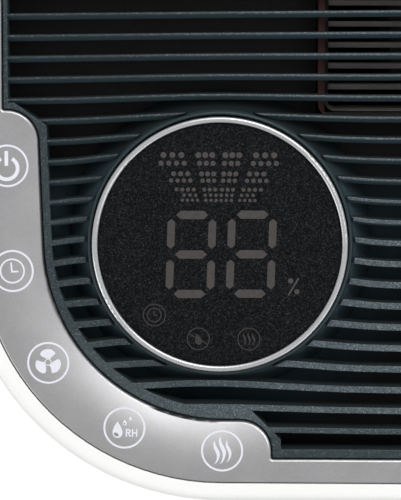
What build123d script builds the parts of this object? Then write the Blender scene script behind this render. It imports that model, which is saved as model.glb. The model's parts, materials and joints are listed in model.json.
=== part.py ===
from build123d import *
from math import cos, exp, hypot, radians, sin
import os

os.makedirs("parts", exist_ok=True)

# Body of the dryer, in millimetres. The front is -Y, the floor is Z = 0.
body_width = 340.0
body_depth = 240.0
corner_radius = 79.0
wall = 3.0
deck_z = 505.0
cover_height = 26.0
seam = 0.3
slip = 0.4
turn_clearance = 0.05

# Top deck, taken from the photo around the centre of the display.
lip_width = 5.9
lip_round = 3.0
strip_width = 7.6
band_inner_radius = 54.1
band_shift = (0.6, 0.5)
band_slant = 0.04
band_front_reach = 15.4
band_back_reach = 40.0
band_end_radius = 9.6
deck_corner_radius = 0.6
fascia_thickness = 3.0
fascia_skirt = 2.0
key_circle_radius = 63.8
key_shift = (0.2, 0.8)
key_step = 27.2
key_pad_radius = 4.0
power_key = (-64.6, 22.5)

# Air outlet grille.
slat_pitch = 6.34
slat_thickness = 2.0
slat_growth = 0.3
slat_land = 0.6
slat_land_growth = 1.35
slat_wide_row = -4.8
slat_wide_rows = 6.2
slat_depth = 8.2
slat_slope_depth = 3.0
slat_bevel = 0.1
first_slat = -9
slat_bow = 2.46
slat_bow_reach = 11.0
slat_bow_shift = (-3.3, -3.8)
slat_bow_least = 0.05
slat_bow_steps = (-70, -60, -52, -44, -30, -4, 22, 36, 44, 53, 64, 78, 96)
slat_dip = 0.0113
slat_dip_row = -5.9
slat_dip_rows = 2.0
slat_level_x = -20.0
grille_drop = 0.8
grille_flange = 2.5
slot_side_border = 1.6
slot_front_border = 2.9
slot_band_border = 2.5
slot_band_shift = 1.0
slot_end_border = 2.2
slot_back_cut = (9.7, 6.8)
slot_end_cut = 9.6
slot_corner_radius = 0.4
rib_thickness = 2.4

# Round display.
display_shift = (-0.4, 0.0)
bezel_radius = 38.4
bezel_width = 1.9
bezel_rise = 3.0
cup_wall = 1.5
cup_depth = 18.0
collar_radius = 39.7
slat_end_radius = 40.6
skirt_radius = 46.0
lens_thickness = 2.6
board_thickness = 1.6
digit_height = 26.5
digit_width = 15.4
digit_pitch = 18.2

# Levels and depths of the inside.
base_z = 44.0
base_floor = 4.0
rim_z = 60.0
chassis_z = 232.0
chassis_thickness = 3.0
split_y = -40.0
partition_y = -7.0

# Fan, outlet duct and heater.
fan_x = 20.0
fan_z = 350.0
wheel_radius = 58.0
wheel_blades = 30
scroll_tongue_radius = 66.0
scroll_side_radius = 68.0
scroll_bottom_radius = 73.0
scroll_outlet_radius = 80.0
scroll_front_y = -4.4
scroll_depth = 54.4
scroll_wall = 2.5
scroll_top_z = 430.0
fan_inlet_radius = 46.0
shaft_radius = 3.0
motor_radius = 36.0
motor_length = 40.0
duct_wall = 2.0
inner_deck_thickness = 2.5
heater_height = 16.0
heater_rim = 0.9
heater_corner = 3.0
heater_bar = 1.45
heater_bar_shift = -1.0
heater_first_row = 7

# Cooling circuit.
compressor_x = -80.0
compressor_y = 56.0
compressor_radius = 50.0
compressor_height = 147.0
grommet_radius = 8.0
grommet_height = 14.0
foot_circle = 56.0
coil_width = 160.0
coil_depth = 20.0
coil_height = 196.0
coil_passes = 8
coil_tube = 3.5
fin_count = 28
fin_thickness = 0.8
evaporator_y = 92.0
condenser_y = 68.0
pipe_radius = 3.0
capillary_radius = 2.0
tray_wall = 2.0
tray_height = 20.0
chute_x = -84.0
chute_width = 16.0
drip_y = -30.0
spout_radius = 5.0
spout_bore = 3.4
spout_z = 247.0
recess_depth = 10.5

# Water tank.
tank_gap = 0.6
tank_wall = 2.2
tank_back_y = -9.0
tank_top_z = 196.0
lid_thickness = 3.0
panel_notch_width = 110.0
panel_notch_height = 20.0
bail_half_width = 46.0
bail_reach = 23.0
bail_radius = 2.4
bail_y = -45.0
bail_z = 204.0
float_width = 36.0
float_y = -24.0
float_pin = 1.6

# Air inlet and filter at the back.
inlet_width = 164.0
inlet_low = 262.0
inlet_high = 446.0
inlet_slat_pitch = 8.0
inlet_slat = 2.6
inlet_thickness = 6.5
filter_thickness = 5.0

# Finger grips in the two sides.
grip_width = 62.0
grip_height = 28.0
grip_depth = 24.0
grip_z = 409.0

# Castors.
castor_x = 112.0
castor_y = 72.0
castor_radius = 18.0
castor_width = 16.0
castor_trail = 10.0
castor_cheek = 3.0
castor_pin = 2.5
stem_radius = 4.0
stem_length = 14.0

# Sizes that follow from the ones above.
half_width = body_width / 2
half_depth = body_depth / 2
corner_x = corner_radius - half_width
corner_y = corner_radius - half_depth
display_x = corner_x + display_shift[0]
display_y = corner_y + display_shift[1]
band_x = corner_x + band_shift[0]
band_y = corner_y + band_shift[1]
rim_width = lip_width + strip_width
cover_z = deck_z - cover_height
grille_top = deck_z - grille_drop
grille_bottom = grille_top - slat_depth
flange_top = grille_bottom + grille_flange
ledge_z = grille_bottom - wall
fascia_bottom = deck_z - fascia_thickness
cup_bottom = deck_z - cup_depth
chassis_top = chassis_z + chassis_thickness
back_inside = half_depth - wall
scroll_back_y = scroll_front_y + scroll_depth
duct_left = fan_x - scroll_outlet_radius
duct_right = -duct_left
duct_front = scroll_front_y + scroll_wall
duct_top = grille_bottom - 1.0
inner_deck_z = cover_z + 1.0
tray_bottom = chassis_top + seam
tray_floor = tray_bottom + tray_wall
fin_bottom = tray_floor + seam
pass_pitch = coil_height / coil_passes
pass_heights = [fin_bottom + pass_pitch * (row + 0.5) for row in range(coil_passes)]
coil_end_x = -coil_width / 2 - 18.0
foot_top = base_z + base_floor + grommet_height


def body_outline(inset=0.0):
    """Plan outline of the body, moved inwards by inset."""
    with BuildSketch() as outline:
        RectangleRounded(body_width - 2 * inset, body_depth - 2 * inset, corner_radius - inset)
    return outline.sketch


def band_side(radius, middle_y, y):
    """X of the slanted side of the wide band, which touches a circle around its middle, at a given Y."""
    return band_x - radius * hypot(1.0, band_slant) - (y - middle_y) * band_slant


def grille_outline(inset=0.0):
    """Plan outline of the dark grille, which leaves the wide band free at the front left corner."""
    side = half_width - rim_width - inset
    front = half_depth - rim_width - inset
    corner = corner_radius - rim_width - inset
    band = band_inner_radius - inset
    back_end = corner_y + band_back_reach + inset
    front_end = corner_x + band_front_reach + inset
    small = max(deck_corner_radius - inset, 0.4)
    left = band_side(band, band_y, back_end)
    ends = min(band_end_radius + inset, side + left - small - 0.2)
    corners = [
        (side, -front),
        (side, front),
        (-side, front),
        (-side, back_end),
        (left, back_end),
        (band_side(band, band_y, band_y - band), band_y - band),
        (front_end, band_y - band),
        (front_end, -front),
    ]
    radii = [corner, corner, corner, small, ends, band, ends, small]
    with BuildSketch() as outline:
        with BuildLine():
            FilletPolyline(*corners, radius=radii, close=True)
        make_face()
    return outline.sketch


def slot_outline():
    """Plan outline of the slotted area, cut off at a slant beside the two ends of the wide band."""
    side = half_width - rim_width - slot_side_border
    front = half_depth - rim_width - slot_front_border
    corner = corner_radius - rim_width - slot_front_border
    band = band_inner_radius - slot_band_border
    middle_y = band_y + slot_band_shift
    band_front = middle_y - band
    back_end = corner_y + band_back_reach + slot_end_border
    cut_end = back_end - slot_back_cut[1]
    left = band_side(band, middle_y, cut_end)
    front_end = corner_x + band_front_reach + slot_front_border
    corners = [
        (side, -front),
        (side, front),
        (-side, front),
        (-side, back_end),
        (left - slot_back_cut[0], back_end),
        (left, cut_end),
        (band_side(band, middle_y, band_front), band_front),
        (front_end - slot_end_cut, band_front),
        (front_end, band_front - slot_end_cut),
        (front_end, -front),
    ]
    small = slot_corner_radius
    radii = [corner, corner, corner, small, small, small, band, small, small, small]
    with BuildSketch() as outline:
        with BuildLine():
            FilletPolyline(*corners, radius=radii, close=True)
        make_face()
    return outline.sketch


def prism(sketch, low, high):
    """Upright solid of a plan sketch between two heights."""
    with BuildPart() as solid:
        with BuildSketch(Plane.XY.offset(low)):
            add(sketch)
        extrude(amount=high - low)
    return solid.part


def block(x_range, y_range, z_range):
    """Plain block between two corners."""
    size = [b - a for a, b in (x_range, y_range, z_range)]
    middle = [(a + b) / 2 for a, b in (x_range, y_range, z_range)]
    with BuildPart() as solid:
        with Locations(tuple(middle)):
            Box(*size)
    return solid.part


def rod(start, end, radius):
    """Round bar between two points."""
    axis = Vector(*end) - Vector(*start)
    with BuildPart() as solid:
        with BuildSketch(Plane(origin=start, z_dir=axis)):
            Circle(radius)
        extrude(amount=axis.length)
    return solid.part


def drum(x, y, radius, low, high):
    """Upright round solid between two heights."""
    return rod((x, y, low), (x, y, high), radius)


def save(builder, name):
    """Name a finished piece and write it to its own file."""
    builder.part.label = name
    export_step(builder.part, f"parts/{name}.step")


def row_line(row):
    """Height in plan of the middle of a slat's land, away from the display."""
    return display_y + row * slat_pitch


def slat_rise(x, row):
    """How far a slat bows towards the back beside the display."""
    across = x - display_x - slat_bow_shift[0]
    along = row_line(row) - display_y - slat_bow_shift[1]
    reach = max(hypot(across, along) - collar_radius, 0.0)
    return slat_bow * exp(-reach / slat_bow_reach)


def slat_place(x, row):
    """Middle of a slat's land at x: its bow, and the slight dip of the left part."""
    share = 1.0 / (1.0 + exp((slat_dip_row - row) / slat_dip_rows))
    dip = slat_dip * share * min(x - slat_level_x, 0.0)
    return row_line(row) + slat_rise(x, row) + dip


def slat_edge(row, offset):
    """One long edge of a slat, from the left wall to the right wall."""
    if slat_rise(display_x, row) < slat_bow_least:
        places = [-half_width, slat_level_x, half_width]
        Polyline(*[(x, slat_place(x, row) + offset) for x in places])
        return
    places = [-half_width] + [display_x + step for step in slat_bow_steps]
    bow = [(x, slat_place(x, row) + offset) for x in places]
    Spline(*bow)
    Line(bow[-1], (half_width, slat_place(half_width, row) + offset))


def slat_share(row):
    """How far a row is one of the wide rows at the front: 1 there, 0 at the back."""
    return exp(-(((row - slat_wide_row) / slat_wide_rows) ** 4))


def slat_face(row, low, high):
    """Plan shape of one slat between two edges, measured from the middle of its land."""
    with BuildSketch() as face:
        with BuildLine():
            slat_edge(row, low)
            slat_edge(row, high)
            for x in (-half_width, half_width):
                middle = slat_place(x, row)
                Line((x, middle + low), (x, middle + high))
        make_face()
    return face.sketch


def slat(row):
    """One slat: upright blade, level land at the back of its top and a steep slope at the front."""
    share = slat_share(row)
    half_land = (slat_land + slat_land_growth * share) / 2
    back = half_land + slat_bevel
    blade = slat_face(row, back - slat_thickness - slat_growth * share, back)
    slope_z = grille_top - slat_slope_depth
    with BuildPart() as solid:
        add(prism(blade, grille_bottom, slope_z))
        with BuildSketch(Plane.XY.offset(slope_z)):
            add(blade)
        with BuildSketch(Plane.XY.offset(grille_top)):
            add(slat_face(row, -half_land, half_land))
        loft(ruled=True)
    return solid.part


last_slat = int((half_depth - rim_width - slot_front_border - display_y) / slat_pitch)
slat_rows = range(first_slat, last_slat + 1)
key_angles = [radians(-90 - key_step * step) for step in range(4)]
key_places = [(key_circle_radius * cos(a), key_circle_radius * sin(a)) for a in key_angles]
key_middle = (corner_x + key_shift[0], corner_y + key_shift[1])
key_places = [(key_middle[0] + x, key_middle[1] + y) for x, y in key_places + [power_key]]

# White rim of the top, with a ledge that carries the grille and the silver fascia.
with BuildPart() as top_cover:
    add(prism(body_outline(), cover_z, deck_z))
    fillet(top_cover.faces().sort_by(Axis.Z)[-1].edges(), lip_round)
    add(prism(body_outline(lip_width), grille_bottom, deck_z), mode=Mode.SUBTRACT)
    fillet(top_cover.faces().sort_by(Axis.Z)[-1].inner_wires().edges(), 0.5)
    add(prism(body_outline(lip_width + 4.6), ledge_z, grille_bottom), mode=Mode.SUBTRACT)
    add(prism(body_outline(wall), cover_z, ledge_z), mode=Mode.SUBTRACT)
save(top_cover, "top_cover")

# Silver fascia: narrow strip all round, wide band with the touch keys at the front left.
with BuildPart() as control_fascia:
    add(prism(body_outline(lip_width + seam), fascia_bottom, deck_z))
    add(prism(grille_outline(), fascia_bottom, deck_z), mode=Mode.SUBTRACT)
    top_face = control_fascia.faces().sort_by(Axis.Z)[-1]
    fillet(top_face.inner_wires().edges(), 0.9)
    top_face = control_fascia.faces().sort_by(Axis.Z)[-1]
    fillet(top_face.outer_wire().edges(), 0.6)
    add(prism(body_outline(lip_width + seam), flange_top + 0.2, fascia_bottom))
    inner = body_outline(lip_width + seam + fascia_skirt)
    add(prism(inner, flange_top + 0.2, fascia_bottom), mode=Mode.SUBTRACT)
save(control_fascia, "control_fascia")

# Dark outlet grille: flange, border, bowed slats, cross ribs and the collar of the display.
with BuildPart() as outlet_grille:
    add([slat(row) for row in slat_rows])
    add(prism(grille_outline(slot_side_border - 0.5), grille_bottom, grille_top), mode=Mode.INTERSECT)
    add(drum(display_x, display_y, slat_end_radius, grille_bottom - 1.0, deck_z), mode=Mode.SUBTRACT)
    border = grille_outline(seam) - slot_outline()
    add(prism(border, grille_bottom, grille_top))
    flange = body_outline(lip_width + seam) - slot_outline()
    add(prism(flange, grille_bottom, flange_top))
    for rib_x in (-18.0, 40.0, 98.0):
        rib = (rib_x - rib_thickness / 2, rib_x + rib_thickness / 2)
        reach = half_depth - rim_width - 1.0
        add(block(rib, (-reach, reach), (grille_bottom, grille_bottom + 3.0)))
    with Locations((display_x, display_y, grille_bottom - 3.0)):
        rise = slat_depth + 2.2
        Cone(skirt_radius, collar_radius, rise, align=(Align.CENTER, Align.CENTER, Align.MIN))
    add(drum(display_x, display_y, collar_radius, cup_bottom - 2.0, deck_z - 0.4))
    add(drum(display_x, display_y, bezel_radius + slip, cup_bottom, deck_z + 5.0), mode=Mode.SUBTRACT)
    add(drum(display_x, display_y, bezel_radius - 5.0, cup_bottom - 2.0, cup_bottom), mode=Mode.SUBTRACT)
save(outlet_grille, "outlet_grille")

# Display: cup, metal ring, smoked lens, circuit board and the light guide of the two digits.
lens_bottom = deck_z - 1.0
board_z = deck_z - 10.0
with BuildPart() as display_cup:
    add(drum(display_x, display_y, bezel_radius - 0.2, cup_bottom + 0.2, deck_z + 1.0))
    add(drum(display_x, display_y, bezel_radius - cup_wall, lens_bottom, deck_z + 1.0), mode=Mode.SUBTRACT)
    add(drum(display_x, display_y, bezel_radius - 3.2, board_z, lens_bottom), mode=Mode.SUBTRACT)
    add(drum(display_x, display_y, bezel_radius - 5.2, cup_bottom + 2.4, board_z), mode=Mode.SUBTRACT)
save(display_cup, "display_cup")

with BuildPart() as display_bezel:
    add(drum(display_x, display_y, bezel_radius, deck_z + 1.0, deck_z + bezel_rise))
    bezel_bore = bezel_radius - bezel_width
    add(drum(display_x, display_y, bezel_bore, deck_z + 1.0, deck_z + bezel_rise), mode=Mode.SUBTRACT)
    fillet(display_bezel.faces().sort_by(Axis.Z)[-1].edges(), bezel_width * 0.42)
save(display_bezel, "display_bezel")

with BuildPart() as display_lens:
    lens_radius = bezel_radius - bezel_width - 0.2
    add(drum(display_x, display_y, lens_radius, lens_bottom, lens_bottom + lens_thickness))
save(display_lens, "display_lens")

with BuildPart() as display_board:
    add(drum(display_x, display_y, bezel_radius - 3.5, board_z, board_z + board_thickness))
save(display_board, "display_board")

with BuildPart() as digit_block:
    for side in (-0.5, 0.5):
        middle = display_x + side * digit_pitch
        across = (middle - digit_width / 2, middle + digit_width / 2)
        along = (display_y - 4.0 - digit_height / 2, display_y - 4.0 + digit_height / 2)
        add(block(across, along, (board_z + board_thickness, lens_bottom - 0.2)))
save(digit_block, "digit_block")

# Touch board below the wide band, with one spring contact under each key.
touch_z = flange_top + 0.2
with BuildPart() as touch_board:
    with BuildSketch(Plane.XY.offset(touch_z)):
        with BuildLine():
            ring = CenterArc(key_middle, key_circle_radius, 278, -98)
            Line(ring @ 1, (key_middle[0] - key_circle_radius, corner_y + band_back_reach - 12.0))
        trace(line_width=12.0)
    extrude(amount=1.2)
save(touch_board, "touch_board")

with BuildPart() as touch_springs:
    for x, y in key_places:
        add(drum(x, y, key_pad_radius, touch_z + 1.2, fascia_bottom))
        add(drum(x, y, key_pad_radius - 1.2, touch_z + 1.2, fascia_bottom), mode=Mode.SUBTRACT)
save(touch_springs, "touch_springs")

# Chassis: middle deck and the wall between the tank bay and the compressor bay.
pipe_holes = [(-112.0, condenser_y), (-130.0, evaporator_y)]
with BuildPart() as chassis:
    add(prism(body_outline(wall + seam), chassis_z, chassis_top))
    side = half_width - wall - seam
    add(block((-side, side), (partition_y, partition_y + wall), (base_z + base_floor + seam, chassis_z)))
    for x, y in pipe_holes:
        add(drum(x, y, pipe_radius + 3.0, chassis_z, chassis_top), mode=Mode.SUBTRACT)
    add(drum(chute_x, drip_y, 7.0, chassis_z, chassis_top), mode=Mode.SUBTRACT)
save(chassis, "chassis")

# Base pan with castor sockets, screw pillars and studs for the compressor feet.
castor_places = {
    "front_left": (-castor_x, -castor_y),
    "front_right": (castor_x, -castor_y),
    "rear_left": (-castor_x, castor_y),
    "rear_right": (castor_x, castor_y),
}
pillar_x = half_width - wall - 5.5
pillar_y = half_depth - wall - 5.5
screw_places = [(-pillar_x, 15.0), (pillar_x, 15.0), (-60.0, pillar_y), (60.0, pillar_y)]
feet_angles = [radians(angle) for angle in (0, 120, 240)]
foot_places = [
    (compressor_x + foot_circle * cos(a), compressor_y + foot_circle * sin(a)) for a in feet_angles
]
with BuildPart() as base_pan:
    add(prism(body_outline(), base_z, rim_z))
    fillet(base_pan.faces().sort_by(Axis.Z)[0].edges(), 2.5)
    add(prism(body_outline(wall), base_z + base_floor, rim_z), mode=Mode.SUBTRACT)
    for x, y in castor_places.values():
        add(drum(x, y, stem_radius + 5.0, base_z + 1.0, rim_z))
        socket = stem_radius + turn_clearance
        add(drum(x, y, socket, base_z, base_z + stem_length + 1.0), mode=Mode.SUBTRACT)
    for x, y in screw_places:
        add(drum(x, y, 6.0, base_z + 1.0, rim_z))
        add(drum(x, y, 2.2, base_z, rim_z), mode=Mode.SUBTRACT)
        add(drum(x, y, 4.2, base_z, base_z + 3.0), mode=Mode.SUBTRACT)
    for x, y in foot_places:
        add(drum(x, y, 2.5, base_z + 1.0, foot_top + 6.0))
save(base_pan, "base_pan")

with BuildPart() as base_screws:
    for x, y in screw_places:
        add(drum(x, y, 3.8, base_z + 0.4, base_z + 3.0))
        add(drum(x, y, 1.9, base_z + 3.0, rim_z + 15.0))
save(base_screws, "base_screws")

# Front cover of the body, above the tank.
cover_top = cover_z - seam
front_limit = (-half_depth - 1.0, split_y - seam)
back_limit = (split_y + seam, half_depth + 1.0)
across_body = (-half_width - 1.0, half_width + 1.0)
with BuildPart() as front_cover:
    add(prism(body_outline() - body_outline(wall), chassis_z - 1.0, cover_top))
    add(block(across_body, front_limit, (0.0, deck_z)), mode=Mode.INTERSECT)
save(front_cover, "front_cover")

# Rear cover: both sides and the back, with finger grips, air inlet, drain and cord recesses.
tongue_low = chassis_top + 2.0
tongue_high = cover_top - 6.0
grip_y = (-grip_width / 2, grip_width / 2)
grip_levels = (grip_z - grip_height / 2, grip_z + grip_height / 2)
gland_x = 0.0
gland_z = 96.0
recess_y = half_depth - recess_depth
inlet_x = (-inlet_width / 2, inlet_width / 2)
inlet_levels = (inlet_low, inlet_high)
with BuildPart() as rear_cover:
    add(prism(body_outline() - body_outline(wall), rim_z + seam, cover_top))
    add(block(across_body, back_limit, (0.0, deck_z)), mode=Mode.INTERSECT)
    with BuildSketch(Plane.XY.offset(tongue_low)) as tongue:
        add(body_outline(wall - 1.0) - body_outline(wall + 2.2))
        with Locations((0, split_y + 4.0)):
            Rectangle(2 * body_width, 16.0, mode=Mode.INTERSECT)
    extrude(amount=tongue_high - tongue_low)
    with BuildSketch(Plane.XY.offset(tongue_low)):
        add(body_outline() - body_outline(wall + seam))
        with Locations((0, -half_depth)):
            Rectangle(2 * body_width, 2 * (half_depth + split_y + seam), mode=Mode.INTERSECT)
    extrude(amount=tongue_high - tongue_low, mode=Mode.SUBTRACT)
    for side in (-1, 1):
        outer = side * half_width
        back = side * (half_width - grip_depth)
        shell = sorted((side * (half_width - 1.0), back - side * 2.5))
        pocket = sorted((outer + side, back))
        cheeks = (grip_y[0] - 2.5, grip_y[1] + 2.5)
        add(block(shell, cheeks, (grip_levels[0] - 2.5, grip_levels[1] + 2.5)))
        add(block(pocket, grip_y, grip_levels), mode=Mode.SUBTRACT)
    for x, z, wide, high in ((0.0, spout_z, 30.0, 18.0), (gland_x, gland_z, 44.0, 34.0)):
        shell_x = (x - wide / 2 - 2.5, x + wide / 2 + 2.5)
        shell_z = (z - high / 2 - 2.5, z + high / 2 + 2.5)
        add(block(shell_x, (recess_y - 2.5, half_depth - 1.0), shell_z))
        hollow_x = (x - wide / 2, x + wide / 2)
        hollow_z = (z - high / 2, z + high / 2)
        add(block(hollow_x, (recess_y, half_depth + 1.0), hollow_z), mode=Mode.SUBTRACT)
    drain_hole = rod((0, recess_y - 5, spout_z), (0, half_depth, spout_z), spout_radius + seam)
    add(drain_hole, mode=Mode.SUBTRACT)
    add(rod((gland_x, recess_y - 5, gland_z), (gland_x, half_depth, gland_z), 8.0), mode=Mode.SUBTRACT)
    add(block(inlet_x, (back_inside - 1.0, half_depth + 1.0), inlet_levels), mode=Mode.SUBTRACT)
    for x, y in screw_places:
        add(drum(x, y, 6.0, rim_z + seam, rim_z + 30.0))
        add(drum(x, y, 1.95, rim_z + seam, rim_z + 24.0), mode=Mode.SUBTRACT)
save(rear_cover, "rear_cover")

# Cord gland in the lower back. The cord itself passes through its bore.
with BuildPart() as cord_gland:
    add(rod((gland_x, recess_y - 8, gland_z), (gland_x, half_depth - 2, gland_z), 7.7))
    add(rod((gland_x, recess_y, gland_z), (gland_x, recess_y + 2.5, gland_z), 11.0))
    add(rod((gland_x, recess_y - 8, gland_z), (gland_x, recess_y - 2.6, gland_z), 10.0))
    add(rod((gland_x, recess_y - 9, gland_z), (gland_x, half_depth, gland_z), 4.0), mode=Mode.SUBTRACT)
save(cord_gland, "cord_gland")

# Inlet grille and filter, which pull off the back together.
grille_front = half_depth - inlet_thickness
filter_front = grille_front - filter_thickness - 0.2
frame_x = (inlet_x[0] + slip, inlet_x[1] - slip)
frame_z = (inlet_low + slip, inlet_high - slip)
slot_x = (frame_x[0] + 7.0, frame_x[1] - 7.0)
slot_count = int((frame_z[1] - frame_z[0] - 14.0) / inlet_slat_pitch)
slot_low = (frame_z[0] + frame_z[1] - slot_count * inlet_slat_pitch + inlet_slat) / 2
with BuildPart() as inlet_grille:
    add(block(frame_x, (grille_front, half_depth), frame_z))
    outer_edges = inlet_grille.faces().sort_by(Axis.Y)[-1].edges()
    fillet(outer_edges, 1.0)
    slots = []
    for step in range(slot_count):
        low = slot_low + step * inlet_slat_pitch
        levels = (low, low + inlet_slat_pitch - inlet_slat)
        slots.append(block(slot_x, (grille_front - 1, half_depth + 1), levels))
    add(slots, mode=Mode.SUBTRACT)
    add(block((-1.5, 1.5), (grille_front, half_depth - 2.0), (frame_z[0] + 2, frame_z[1] - 2)))
save(inlet_grille, "inlet_grille")

filter_y = (filter_front, filter_front + filter_thickness)
open_x = (frame_x[0] + 6.0, frame_x[1] - 6.0)
open_z = (frame_z[0] + 6.0, frame_z[1] - 6.0)
mesh_y = (filter_front + 2.0, filter_front + 2.8)
with BuildPart() as filter_frame:
    add(block(frame_x, filter_y, frame_z))
    add(block(open_x, (filter_front - 1, grille_front), open_z), mode=Mode.SUBTRACT)
    for x in (-26.0, 26.0):
        add(block((x - 1.2, x + 1.2), (filter_front, filter_front + 1.8), open_z))
    for z in (open_z[0] * 2 / 3 + open_z[1] / 3, open_z[0] / 3 + open_z[1] * 2 / 3):
        add(block(open_x, (filter_front, filter_front + 1.8), (z - 1.2, z + 1.2)))
save(filter_frame, "filter_frame")

with BuildPart() as filter_mesh:
    add(block((open_x[0] + 0.1, open_x[1] - 0.1), mesh_y, (open_z[0] + 0.1, open_z[1] - 0.1)))
save(filter_mesh, "filter_mesh")

# Outlet duct and the heater that is seen through the grille.
duct_x = (duct_left, duct_right)
duct_y = (duct_front, scroll_back_y)
duct_outer_x = (duct_left - duct_wall, duct_right + duct_wall)
duct_outer_y = (duct_front - duct_wall, scroll_back_y + duct_wall)
with BuildPart() as outlet_duct:
    add(block(duct_outer_x, duct_outer_y, (scroll_top_z + seam, duct_top)))
    fillet(outlet_duct.edges().filter_by(Axis.Z), 5.0)
    add(block(duct_x, duct_y, (scroll_top_z, duct_top + 1.0)), mode=Mode.SUBTRACT)
save(outlet_duct, "outlet_duct")

# Dark plate below the grille, open only around the duct.
with BuildPart() as inner_deck:
    add(prism(body_outline(wall + seam), inner_deck_z, inner_deck_z + inner_deck_thickness))
    hole_x = (duct_outer_x[0] - seam, duct_outer_x[1] + seam)
    hole_y = (duct_outer_y[0] - seam, duct_outer_y[1] + seam)
    add(block(hole_x, hole_y, (inner_deck_z - 1.0, deck_z)), mode=Mode.SUBTRACT)
save(inner_deck, "inner_deck")

heater_z = (duct_top - 4.0 - heater_height, duct_top - 4.0)
heater_x = (duct_left + 0.2, duct_right - 0.2)
heater_y = (duct_front + 0.2, scroll_back_y - 0.2)
window_x = (heater_x[0] + heater_rim, heater_x[1] - heater_rim)
window_y = (heater_y[0] + heater_rim, heater_y[1] - heater_rim)
heater_middle = ((heater_x[0] + heater_x[1]) / 2, (heater_y[0] + heater_y[1]) / 2)
with BuildPart() as heater_frame:
    with BuildSketch(Plane.XY.offset(heater_z[0])):
        with Locations(heater_middle):
            RectangleRounded(heater_x[1] - heater_x[0], heater_y[1] - heater_y[0], heater_corner)
            window = (window_x[1] - window_x[0], window_y[1] - window_y[0])
            RectangleRounded(*window, heater_corner - heater_rim, mode=Mode.SUBTRACT)
    extrude(amount=heater_height)
save(heater_frame, "heater_frame")

first_bar = row_line(heater_first_row + 0.5) + heater_bar_shift
bar_count = int((window_y[1] - first_bar - 2.0) / slat_pitch) + 1
with BuildPart() as heater_bars:
    for step in range(bar_count):
        y = first_bar + step * slat_pitch
        bar_y = (y - heater_bar / 2, y + heater_bar / 2)
        add(block((window_x[0] + 0.1, window_x[1] - 0.1), bar_y, (heater_z[0] + 1.0, heater_z[1] - 1.0)))
save(heater_bars, "heater_bars")

# Fan: spiral housing, inlet plate, wheel, motor and shaft. The fan turns about an axis along Y.
scroll_plane = Plane(origin=(0, scroll_front_y, 0), x_dir=(1, 0, 0), z_dir=(0, -1, 0))
tongue_x = duct_right
tongue_z = fan_z + (scroll_tongue_radius**2 - (tongue_x - fan_x) ** 2) ** 0.5


def scroll_outline():
    """Inside of the spiral housing, seen from the front."""
    with BuildSketch() as outline:
        with BuildLine():
            left = Line((duct_left, scroll_top_z), (duct_left, fan_z))
            low = TangentArc(left @ 1, (fan_x, fan_z - scroll_bottom_radius), tangent=(0, -1))
            right = TangentArc(low @ 1, (fan_x + scroll_side_radius, fan_z), tangent=low % 1)
            tongue = TangentArc(right @ 1, (tongue_x, tongue_z), tangent=right % 1)
            Line(tongue @ 1, (tongue_x, scroll_top_z))
            Line((tongue_x, scroll_top_z), (duct_left, scroll_top_z))
        make_face()
    return outline.sketch


leg_x = (fan_x - 42.0, fan_x + 42.0)
with BuildPart() as blower_scroll:
    with BuildSketch(scroll_plane):
        add(scroll_outline())
        offset(amount=scroll_wall)
        with Locations((0, scroll_top_z + 50.0)):
            Rectangle(400, 100, mode=Mode.SUBTRACT)
    extrude(amount=-scroll_depth)
    for x in leg_x:
        leg_y = (scroll_front_y, scroll_back_y)
        add(block((x - 3.0, x + 3.0), leg_y, (chassis_top + seam, fan_z - scroll_bottom_radius + 22.0)))
    with BuildSketch(scroll_plane.offset(-scroll_wall)):
        add(scroll_outline())
    extrude(amount=-scroll_depth, mode=Mode.SUBTRACT)
    shaft_way = rod((fan_x, scroll_front_y - 1, fan_z), (fan_x, duct_front + 1, fan_z), 8.0)
    add(shaft_way, mode=Mode.SUBTRACT)
save(blower_scroll, "blower_scroll")

with BuildPart() as scroll_cover:
    with BuildSketch(scroll_plane.offset(-scroll_depth - 0.2)):
        add(scroll_outline())
        offset(amount=scroll_wall)
        with Locations((0, scroll_top_z + 50.0)):
            Rectangle(400, 100, mode=Mode.SUBTRACT)
        with Locations((fan_x, fan_z)):
            Circle(fan_inlet_radius, mode=Mode.SUBTRACT)
    extrude(amount=-scroll_wall)
save(scroll_cover, "scroll_cover")

wheel_front = duct_front + 4.0
wheel_back = scroll_back_y - 4.0
blade_plane = Plane(origin=(fan_x, wheel_front + 1.0, fan_z), x_dir=(1, 0, 0), z_dir=(0, -1, 0))
with BuildPart() as blower_wheel:
    add(rod((fan_x, wheel_front, fan_z), (fan_x, wheel_front + 2.0, fan_z), wheel_radius))
    add(rod((fan_x, wheel_front - 2.0, fan_z), (fan_x, wheel_front + 14.0, fan_z), 10.0))
    with BuildSketch(blade_plane):
        with PolarLocations(wheel_radius - 6.0, wheel_blades):
            Rectangle(10.0, 1.4, rotation=32)
    extrude(amount=-(wheel_back - wheel_front - 1.0))
    with BuildSketch(Plane(origin=(fan_x, wheel_back, fan_z), x_dir=(1, 0, 0), z_dir=(0, -1, 0))):
        Circle(wheel_radius)
        Circle(wheel_radius - 3.5, mode=Mode.SUBTRACT)
    extrude(amount=3.0)
    bore = rod((fan_x, wheel_front - 3, fan_z), (fan_x, wheel_front + 12, fan_z), shaft_radius + 0.02)
    add(bore, mode=Mode.SUBTRACT)
save(blower_wheel, "blower_wheel")

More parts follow.
